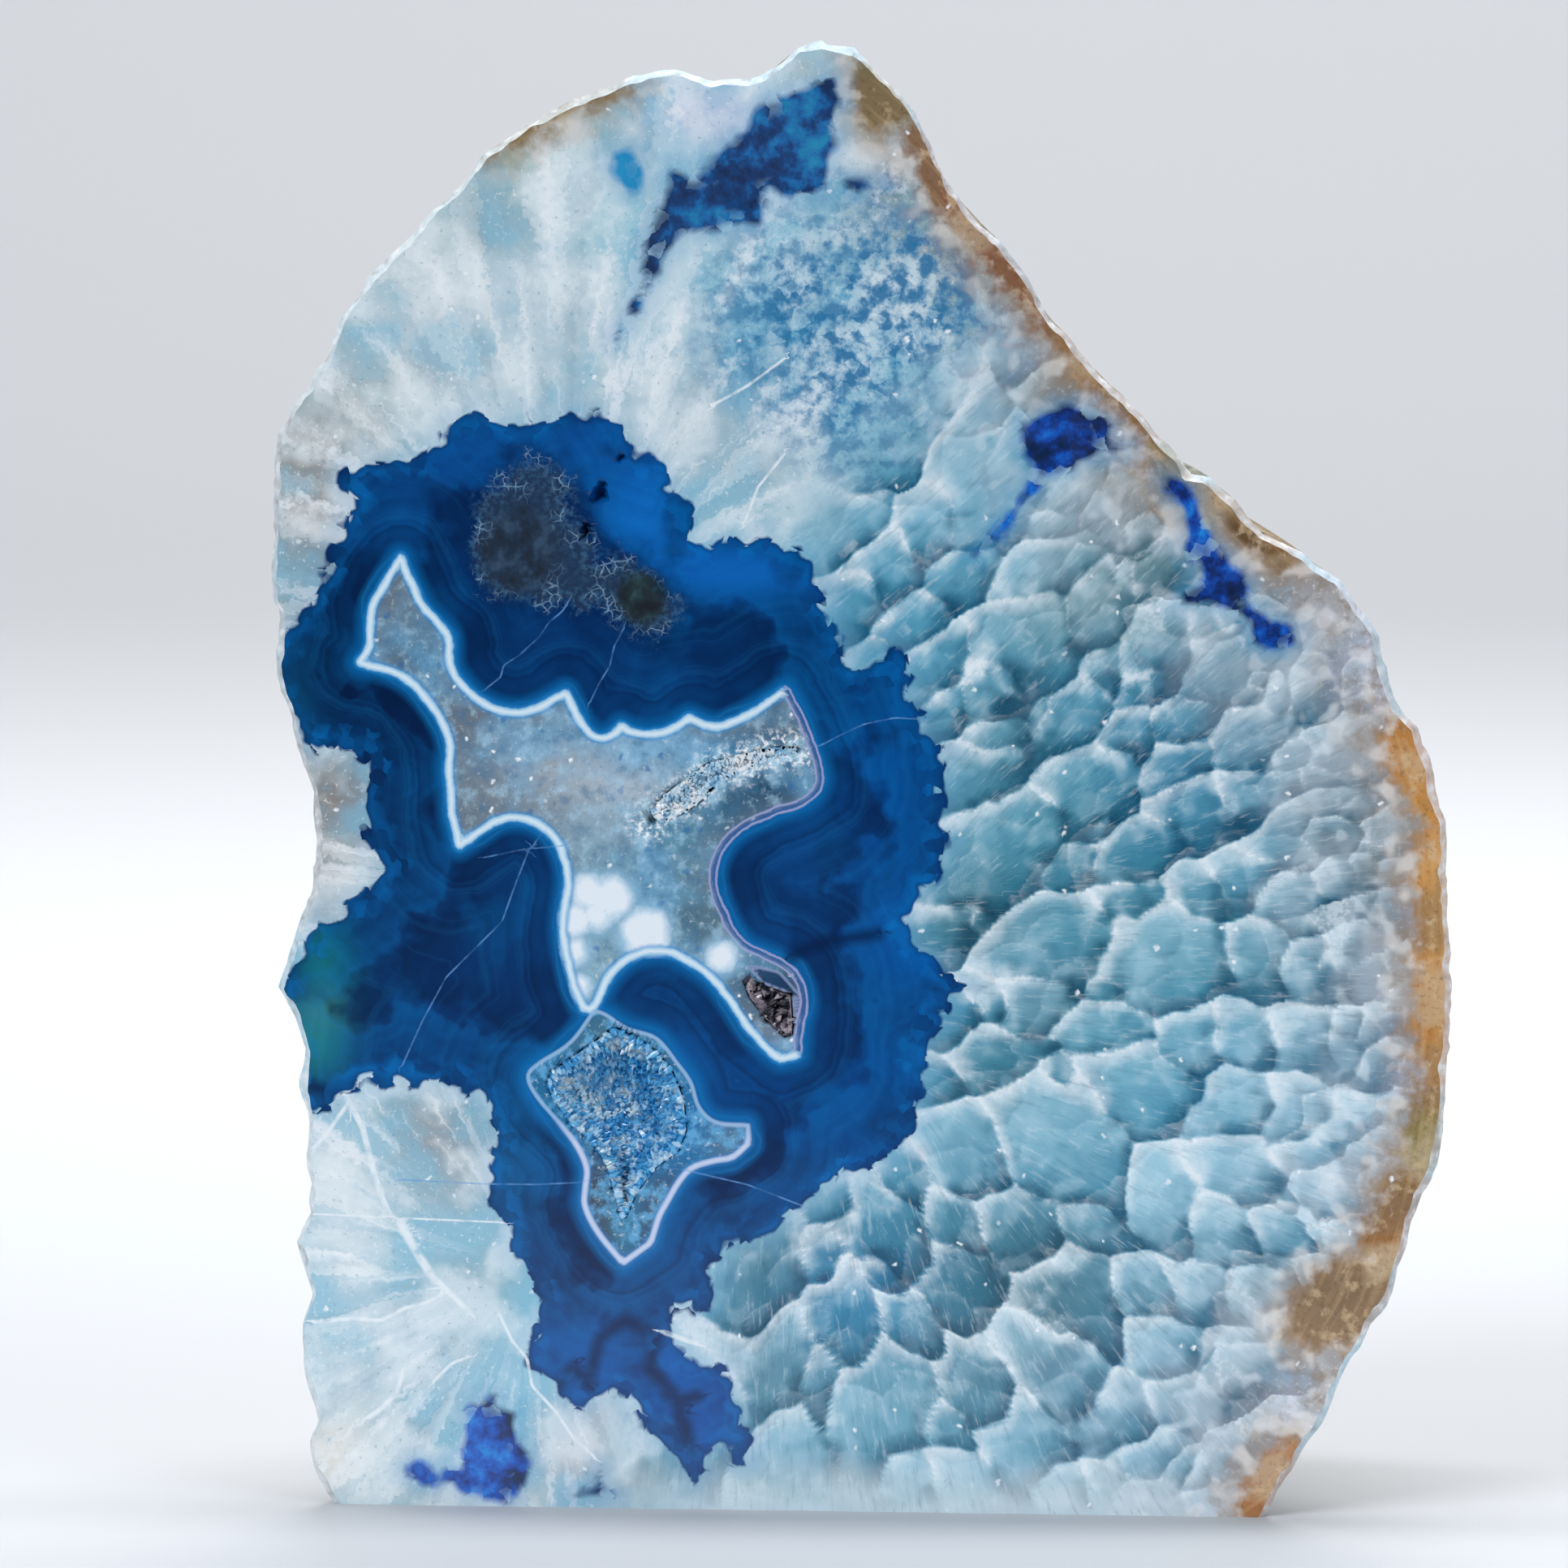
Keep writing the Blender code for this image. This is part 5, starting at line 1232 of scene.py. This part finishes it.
def rough_patch(add, at, ground):
    """The rough grey patch high in the agate: a smoky and a dark middle, and a lacy pale border of
    tiny crystals."""
    depth = add("Math", {0: field(add, "patch"),
                         1: add("MapRange", {0: at["grain"], 1: 0.2, 2: 0.8, 3: -1.4, 4: 1.4})},
                operation="ADD")
    second = field(add, "patch_second")
    middle = add("MapRange", {0: field(add, "patch_middle"), 1: 1.25, 2: 0.75})
    lace = add("TexVoronoi", {"Vector": at["bent"], "Scale": 0.9}, feature="DISTANCE_TO_EDGE",
               voronoi_dimensions="2D")
    border = product(add, add("MapRange", {0: depth, 1: 1.4, 2: 0.2}),
                     add("MapRange", {0: depth, 1: -3.4, 2: -1.0, 3: 0.25}),
                     add("MapRange", {0: field(add, "patch_middle"), 1: 0.7, 2: 1.1}))
    smoky = stops(add("ValToRGB", {0: at["grain"]}), (0.3, "#0a1826"), (0.5, "#122a42"),
                  (0.7, "#2f4a62"))
    dark = stops(add("ValToRGB", {0: at["grain"]}), (0.35, "#050f18"), (0.55, "#132a30"),
                 (0.72, "#2c4a50"))
    tone = add("Mix", {0: second, 6: smoky, 7: dark}, out=2, data_type="RGBA")
    return layered(
        add, ground,
        ("#01214f", add("MapRange", {0: depth, 1: 3.4, 2: 0.2}), 0.7),
        ("#0b2f4c", add("MapRange", {0: depth, 1: 0.2, 2: -0.8}), 0.8),
        (tone, middle, 0.95),
        ("#3f6f94", border, add("MapRange", {0: at["fine"], 1: 0.45, 2: 0.62}), 0.5),
        ("#9cbcd6", add("MapRange", {0: lace, 1: 0.1, 2: 0.01}), border,
         add("MapRange", {0: at["soft"], 1: 0.48, 2: 0.62}), 0.6),
    ), add("MapRange", {0: depth, 1: 0.8, 2: -0.4})


def thin_lines(add, at, ground):
    """Healed hairlines in the agate and white cleavage lines in the quartz."""
    hair = add("Math", {0: field(add, "hairline")}, operation="ABSOLUTE")
    sheet = add("Math", {0: field(add, "cleavage")}, operation="ABSOLUTE")
    return layered(
        add, ground,
        ("#6aa0da", add("MapRange", {0: hair, 1: 0.15, 2: 0.03}),
         add("MapRange", {0: field(add, "hairline_far"), 1: 1.2, 2: 0.9}),
         add("MapRange", {0: at["grain"], 1: 0.36, 2: 0.6, 3: 0.15, 4: 0.75})),
        ("#f3f8fa", add("MapRange", {0: sheet, 1: 1.2, 2: 0.5}),
         add("MapRange", {0: field(add, "cleavage_far"), 1: 1.6, 2: 1.2}),
         add("MapRange", {0: at["grain"], 1: 0.3, 2: 0.55, 3: 0.2, 4: 0.9})),
    )


def face_finish():
    """Polished agate and quartz: glassy, with all its colour under the polish. Quartz reflects about
    4.5% head on, an IOR of 1.54, and the wheel leaves it nearly mirror smooth."""
    made, shader, add = new_material("polished_agate_and_quartz")
    at = face_patterns(add)
    push = ragged(add, at)
    face = add("Attribute", out="Color", attribute_name="quartz_tone")
    face = quartz_fans(add, at, face)
    face = shattered_quartz(add, at, face)
    face = quartz_crystals(add, at, face)
    face = rind_in_section(add, at, face)
    # Painted glints: tiny white specks across the quartz that stand in for sparkles of reflected light.
    face = layered(add, face, ("#fbfdfe", add("MapRange", {0: at["cell"], 1: 0.03, 2: 0.01}),
                               add("MapRange", {0: at["cell_far"], 1: 0.22, 2: 0.08}), 0.9))
    face = dyed_cracks(add, at, push, face)
    depth = add("Math", {0: field(add, "agate"), 1: push}, operation="ADD")
    face = layered(
        add, face,
        ("#7fb2d3", add("MapRange", {0: depth, 1: 3.2, 2: 0.2}), 0.3),
        (banded_agate(add, at, depth), add("MapRange", {0: depth, 1: 0.2, 2: -0.2})),
    )
    face, rough_spots = rough_patch(add, at, face)
    face = layered(
        add, face,
        (star_fill(add, at), add("MapRange", {0: field(add, "star"), 1: 0.1, 2: -0.1})),
        (pocket_fill(add, at), add("MapRange", {0: field(add, "pocket"), 1: 0.1, 2: -0.1})),
    )
    face = white_lines(add, at, face)
    face = thin_lines(add, at, face)
    made.node_tree.links.new(face, shader.inputs["Base Color"])
    made.node_tree.links.new(add("MapRange", {0: rough_spots, 3: 0.12, 4: 0.4}), shader.inputs["Roughness"])
    shader.inputs["IOR"].default_value = 1.54
    return made


def ground_finish():
    """The ground edge: the same stone, frosted by a coarse wheel, so pale and dull."""
    made, shader, add = new_material("frosted_ground_edge")
    place = add("VectorMath", {0: add("TexCoord", out="Object"), "Scale": 1 / MM}, operation="SCALE")
    stained = add("MapRange", {0: add("Attribute", out="Fac", attribute_name="iron"), 1: 1.2, 2: -0.5})
    grain = add("TexNoise", {"Vector": place, "Scale": 0.7, "Detail": 4.0}, out="Fac")
    colour = layered(
        add, add("Attribute", out="Color", attribute_name="quartz_tone"),
        (add("Attribute", out="Color", attribute_name="iron_tone"), stained), ("#e4e6e9", 0.5),
        ("#f4f5f6", add("MapRange", {0: grain, 1: 0.5, 2: 0.7}), 0.8),
        ("#8f8983", add("MapRange", {0: grain, 1: 0.45, 2: 0.3}), 0.5),
    )
    made.node_tree.links.new(colour, shader.inputs["Base Color"])
    bump = add("Bump", {"Strength": 0.5, "Distance": 0.0003, "Height": grain})
    made.node_tree.links.new(bump, shader.inputs["Normal"])
    shader.inputs["Roughness"].default_value = 0.55
    shader.inputs["IOR"].default_value = 1.54
    return made


def rind_finish():
    """The nodule's weathered skin: brown and grey-green chalcedony, knobbly, pitted and dull."""
    made, shader, add = new_material("weathered_rind")
    place = add("VectorMath", {0: add("TexCoord", out="Object"), "Scale": 1 / MM}, operation="SCALE")
    broad = add("TexNoise", {"Vector": place, "Scale": 0.05, "Detail": 5.0, "Roughness": 0.6}, out="Fac")
    fine = add("TexNoise", {"Vector": place, "Scale": 0.5, "Detail": 6.0, "Roughness": 0.65}, out="Fac")
    pits = add("TexVoronoi", {"Vector": place, "Scale": 0.45})
    colour = stops(add("ValToRGB", {0: broad}), (0.3, "#5d4a36"), (0.42, "#8a7350"), (0.52, "#9b8f78"),
                   (0.62, "#7a7f70"), (0.75, "#b3a58c"))
    colour = layered(
        add, colour,
        ("#3f3326", add("MapRange", {0: fine, 1: 0.48, 2: 0.3}), 0.7),
        ("#cdbfa6", add("MapRange", {0: fine, 1: 0.55, 2: 0.75}), 0.6),
        ("#4a3a2a", add("MapRange", {0: pits, 1: 0.3, 2: 0.05}), 0.5),
    )
    made.node_tree.links.new(colour, shader.inputs["Base Color"])
    height = add("Math", {0: fine, 1: add("MapRange", {0: pits, 1: 0.0, 2: 0.4, 4: 0.6})},
                 operation="ADD")
    bump = add("Bump", {"Strength": 0.8, "Distance": 0.0009, "Height": height})
    made.node_tree.links.new(bump, shader.inputs["Normal"])
    shader.inputs["Roughness"].default_value = 0.7
    shader.inputs["IOR"].default_value = 1.54
    return made


def sawn_finish():
    """The sawn base: flat, unpolished quartz and agate with faint saw marks."""
    made, shader, add = new_material("sawn_base")
    place = add("VectorMath", {0: add("TexCoord", out="Object"), "Scale": 1 / MM}, operation="SCALE")
    broad = add("TexNoise", {"Vector": place, "Scale": 0.06, "Detail": 4.0}, out="Fac")
    marks = add("TexWave", {"Vector": place, "Scale": 0.35, "Distortion": 1.5, "Detail": 2.0}, out="Fac")
    colour = stops(add("ValToRGB", {0: broad}), (0.35, "#5f87a5"), (0.5, "#b3c3cb"), (0.7, "#d6d6d2"))
    colour = layered(add, colour, ("#8f9ba3", marks, 0.25))
    made.node_tree.links.new(colour, shader.inputs["Base Color"])
    shader.inputs["Roughness"].default_value = 0.5
    shader.inputs["IOR"].default_value = 1.54
    return made


def druse_finish(name, dark, mid, pale, clear):
    """Small quartz crystals: glassy faces, each crystal a little lighter or darker, partly see-through."""
    made, shader, add = new_material(name)
    place = add("VectorMath", {0: add("TexCoord", out="Object"), "Scale": 1 / MM}, operation="SCALE")
    cell = add("TexVoronoi", {"Vector": place, "Scale": 1.1}, out="Color")
    tone = add("SeparateColor", {0: cell})
    cloud = add("TexNoise", {"Vector": place, "Scale": 0.25, "Detail": 3.0}, out="Fac")
    mixed = add("Math", {0: product(add, tone, 0.45), 1: product(add, cloud, 0.75)}, operation="ADD")
    colour = stops(add("ValToRGB", {0: mixed}), (0.3, dark), (0.58, mid), (0.85, pale))
    made.node_tree.links.new(colour, shader.inputs["Base Color"])
    shader.inputs["Roughness"].default_value = 0.08
    shader.inputs["IOR"].default_value = 1.54
    shader.inputs["Transmission Weight"].default_value = clear
    return made


def blue_druse_finish():
    return druse_finish("dyed_quartz_points", "#2390d2", "#6cc0ec", "#e6f6fd", 0.1)


def smoky_druse_finish():
    return druse_finish("smoky_quartz_points", "#171a24", "#4a4856", "#d9c9cf", 0.1)


def sugar_finish():
    return druse_finish("sugary_quartz_points", "#79b4d8", "#c2e0f1", "#ffffff", 0.1)


def crystal(sides=6):
    """A small quartz crystal of unit width: a six-sided prism with a six-sided point, open below."""
    angle = np.arange(sides) * 2 * np.pi / sides
    ring = np.stack([np.cos(angle), np.sin(angle)], -1) / 2
    points = np.concatenate([
        np.insert(ring, 2, -0.6, axis=1), np.insert(ring * 0.97, 2, 0.35, axis=1), [[0.0, 0.0, 1.0]]
    ])
    after = np.roll(np.arange(sides), -1)
    here = np.arange(sides)
    faces = [
        *np.stack([here, after, after + sides, here + sides], -1).tolist(),
        *np.stack([here + sides, after + sides, np.full(sides, 2 * sides)], -1).tolist(),
        here[::-1].tolist(),
    ]
    return points, faces


def planted(seats, normals, sizes, slim, seed):
    """Crystals standing on seats: each is turned, leant a little and scaled, and all are one mesh."""
    random = np.random.default_rng(seed)
    shape, faces = crystal()
    count = len(seats)
    up = normals + random.normal(0, 0.24, (count, 3))
    up /= np.linalg.norm(up, axis=1, keepdims=True)
    side = np.cross(up, random.normal(0, 1, (count, 3)))
    side /= np.linalg.norm(side, axis=1, keepdims=True)
    third = np.cross(up, side)
    body = shape * (1, 1, slim)
    points = (body[None, :, 0, None] * side[:, None] + body[None, :, 1, None] * third[:, None]
              + body[None, :, 2, None] * up[:, None]) * sizes[:, None, None] + seats[:, None]
    start = np.arange(count) * len(shape)
    return points.reshape(-1, 3), [[corner + first for corner in face] for first in start for face in faces]


def druse(name, grid, share, depth, size, spread, seed, finish):
    """The crust of a hollow: a closed skin over its wall with a crowd of small quartz points on it.

    The skin is the hollow's wall lifted by the clearance and the crust. The points stand on it at
    places scattered evenly by share of the grid, and all stay behind the polished face.
    """
    random = np.random.default_rng(seed)
    rows, columns = share.shape
    wall = hollow_depth(share, depth)
    back = np.insert(grid, 1, wall - 1.3 * CLEARANCE, axis=2)
    front = back - np.array([0.0, CRUST, 0.0])
    front[..., 1] = np.maximum(front[..., 1], 0.3)
    number = np.arange(rows * columns).reshape(rows, columns)
    cells = np.stack([number[:-1, :-1], number[1:, :-1], number[1:, 1:], number[:-1, 1:]], -1)
    cells = cells.reshape(-1, 4)
    border = border_of(number)
    after = np.roll(border, -1)
    rim = np.stack([border, border + rows * columns, after + rows * columns, after], -1)
    faces = [*cells.tolist(), *(cells[:, ::-1] + rows * columns).tolist(), *rim.tolist()]
    points = np.concatenate([front.reshape(-1, 3), back.reshape(-1, 3)])

    count = spread
    u, v = random.uniform(0, rows - 1.001, count), random.uniform(0, columns - 1.001, count)
    i, j = u.astype(int), v.astype(int)
    s, t = (u - i)[:, None], (v - j)[:, None]
    seats = ((1 - s) * (1 - t) * front[i, j] + s * (1 - t) * front[i + 1, j]
             + (1 - s) * t * front[i, j + 1] + s * t * front[i + 1, j + 1])
    over = np.cross(front[i + 1, j] - front[i, j], front[i, j + 1] - front[i, j])
    over /= np.linalg.norm(over, axis=1, keepdims=True)
    over *= np.where(over[:, 1] > 0, -1, 1)[:, None]
    sizes = size * random.uniform(0.6, 1.5, count)
    tips, tip_faces = planted(seats, over, sizes, 1.5, seed + 1)
    tips[:, 1] = np.maximum(tips[:, 1], 0.08)
    faces += [[corner + len(points) for corner in face] for face in tip_faces]
    made = mesh_object(name, np.concatenate([points, tips]), faces, (finish,))
    made.data.shade_flat()
    return made


def spread_along(seam, count, across, reach=1.0):
    """A grid of points along a seam of changing width, and each one's share of the way to its side."""
    seam = np.array(seam)
    fine = np.linspace(0, 1, 49)
    stations = np.linspace(0, 1, len(seam))
    line = np.stack([np.interp(fine, stations, seam[:, i]) for i in range(3)])
    for _ in range(40):
        line[:, 1:-1] = 0.5 * line[:, 1:-1] + 0.25 * (line[:, :-2] + line[:, 2:])
    end = np.linspace(-reach, reach, count)
    x, z, half = (np.interp((end + 1) / 2, fine, row) for row in line)
    course = np.stack([np.gradient(x), np.gradient(z)], -1)
    course /= np.linalg.norm(course, axis=1, keepdims=True)
    aside = np.stack([-course[:, 1], course[:, 0]], -1)
    side = np.linspace(-reach, reach, across)
    grid = np.stack([x, z], -1)[:, None] + aside[:, None] * (half[:, None] * side)[..., None]
    return grid, np.maximum(abs(side)[None, :], abs(end)[:, None] ** 4)


def camera():
    """The photograph's view: level with the stone, a little above and to its right, a long lens."""
    made = bpy.data.objects.new("camera", bpy.data.cameras.new("camera"))
    made.data.sensor_width = 36.0
    made.data.lens = CAMERA_LENS
    turn, rise = np.radians(CAMERA_TURN), np.radians(CAMERA_RISE)
    target = Vector(CAMERA_TARGET) * MM
    away = Vector((np.sin(turn) * np.cos(rise), -np.cos(turn) * np.cos(rise), np.sin(rise)))
    made.location = target + away * CAMERA_DISTANCE * MM
    made.rotation_euler = away.to_track_quat("Z", "Y").to_euler()
    bpy.context.scene.collection.objects.link(made)
    bpy.context.scene.camera = made


def light(name, place, target, size, power, colour):
    """A soft box: an area light at a place, facing a target, all in metres."""
    lamp = bpy.data.lights.new(name, "AREA")
    lamp.shape = "RECTANGLE"
    lamp.size, lamp.size_y = size
    lamp.energy = power
    lamp.color = paint(colour)[:3]
    made = bpy.data.objects.new(name, lamp)
    made.location = place
    made.rotation_euler = (Vector(place) - Vector(target)).to_track_quat("Z", "Y").to_euler()
    bpy.context.scene.collection.objects.link(made)


def floor():
    """A sweep: a level floor that curves up into a wall far behind the stone, pale behind the stone and darkened
    towards the camera by painted shade.
    """
    across = np.linspace(-3, 3, 13)
    run = np.concatenate([np.linspace(-3, 1.6, 12), 1.6 + 0.8 * np.sin(np.linspace(0.1, 1, 10) * np.pi / 2),
                          [2.4]])
    rise = np.concatenate([np.zeros(12), 0.8 - 0.8 * np.cos(np.linspace(0.1, 1, 10) * np.pi / 2), [3.2]])
    points = np.stack(np.broadcast_arrays(across[:, None], run[None], rise[None]), -1)
    number = np.arange(points[..., 0].size).reshape(points.shape[:2])
    cells = np.stack([number[:-1, :-1], number[1:, :-1], number[1:, 1:], number[:-1, 1:]], -1)
    mesh = bpy.data.meshes.new("floor")
    mesh.from_pydata(points.reshape(-1, 3).tolist(), [], cells.reshape(-1, 4).tolist())
    mesh.shade_smooth()
    made = bpy.data.objects.new("floor", mesh)
    made_of, shader, add = new_material("paper_with_painted_shade")
    # Painted shade: the floor runs from dark in front of the stone to pale behind it, as if the light fell off
    # towards the camera.
    depth = add("SeparateXYZ", {0: add("TexCoord", out="Object")}, out=1)
    colour = stops(add("ValToRGB", {0: add("MapRange", {0: depth, 1: -0.4, 2: -0.13})}),
                   (0.0, "#2a2c30"), (1.0, "#c4c6c9"))
    made_of.node_tree.links.new(colour, shader.inputs["Base Color"])
    shader.inputs["Roughness"].default_value = 0.75
    mesh.materials.append(made_of)
    bpy.context.scene.collection.objects.link(made)


def studio():
    """Soft light: a large box high on the left, a weaker one on the right, and one from above behind."""
    world = bpy.data.worlds.new("studio")
    world.use_nodes = True
    world.node_tree.nodes["Background"].inputs["Color"].default_value = paint("#c9d2dc")
    world.node_tree.nodes["Background"].inputs["Strength"].default_value = WORLD_STRENGTH
    bpy.context.scene.world = world
    middle = (0.0, 0.0, 0.09)
    light("key", (-0.75, -0.95, 0.95), middle, (0.7, 0.7), KEY_POWER, "#f3f8ff")
    light("fill", (0.95, -0.8, 0.55), middle, (0.7, 0.9), FILL_POWER, "#eaf1fa")
    light("crown", (0.1, 0.75, 0.9), middle, (0.8, 0.4), CROWN_POWER, "#ffffff")
    light("backdrop", (0.0, 0.2, 2.4), (0.0, 2.4, 1.0), (2.0, 0.6), BACKDROP_POWER, "#ffffff")
    scene = bpy.context.scene
    scene.view_settings.view_transform = "Standard"


CAMERA_TURN = 5.0  # degrees to the stone's right
CAMERA_RISE = 5.0
CAMERA_DISTANCE = 1100.0
CAMERA_LENS = 204.5
CAMERA_TARGET = (-9.4, -29.0, 90.7)
WORLD_STRENGTH = 0.14
KEY_POWER = 14.5
FILL_POWER = 6.8
CROWN_POWER = 7.0
BACKDROP_POWER = 85.0


def build():
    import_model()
    camera()
    floor()
    studio()
    finishes = [face_finish(), ground_finish(), rind_finish(), sawn_finish()]
    body = stone(*finishes)
    lay_fields(body)
    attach(body, "root")
    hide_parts("agate_geode")
    pocket = druse("blue_druse", *spread_inside(LOWER_POCKET, 41, 0.96), LOWER_POCKET_DEPTH, 0.52, 1500, 5,
                   blue_druse_finish())
    vug = druse("smoky_druse", *spread_inside(WEDGE_VUG, 21, 0.9), WEDGE_VUG_DEPTH, 0.6, 130, 6,
                smoky_druse_finish())
    fissure = druse("sugary_seam", *spread_along(STAR_FISSURE, 61, 9, 0.9), FISSURE_DEPTH, 0.42, 520, 7,
                    sugar_finish())
    for piece, node, slot in ((pocket, "druse_lower_pocket", "blue_druse"),
                              (vug, "druse_wedge_vug", "smoky_druse"),
                              (fissure, "druse_star_fissure", "sugary_quartz")):
        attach(piece, "root")
        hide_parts(node)


build()
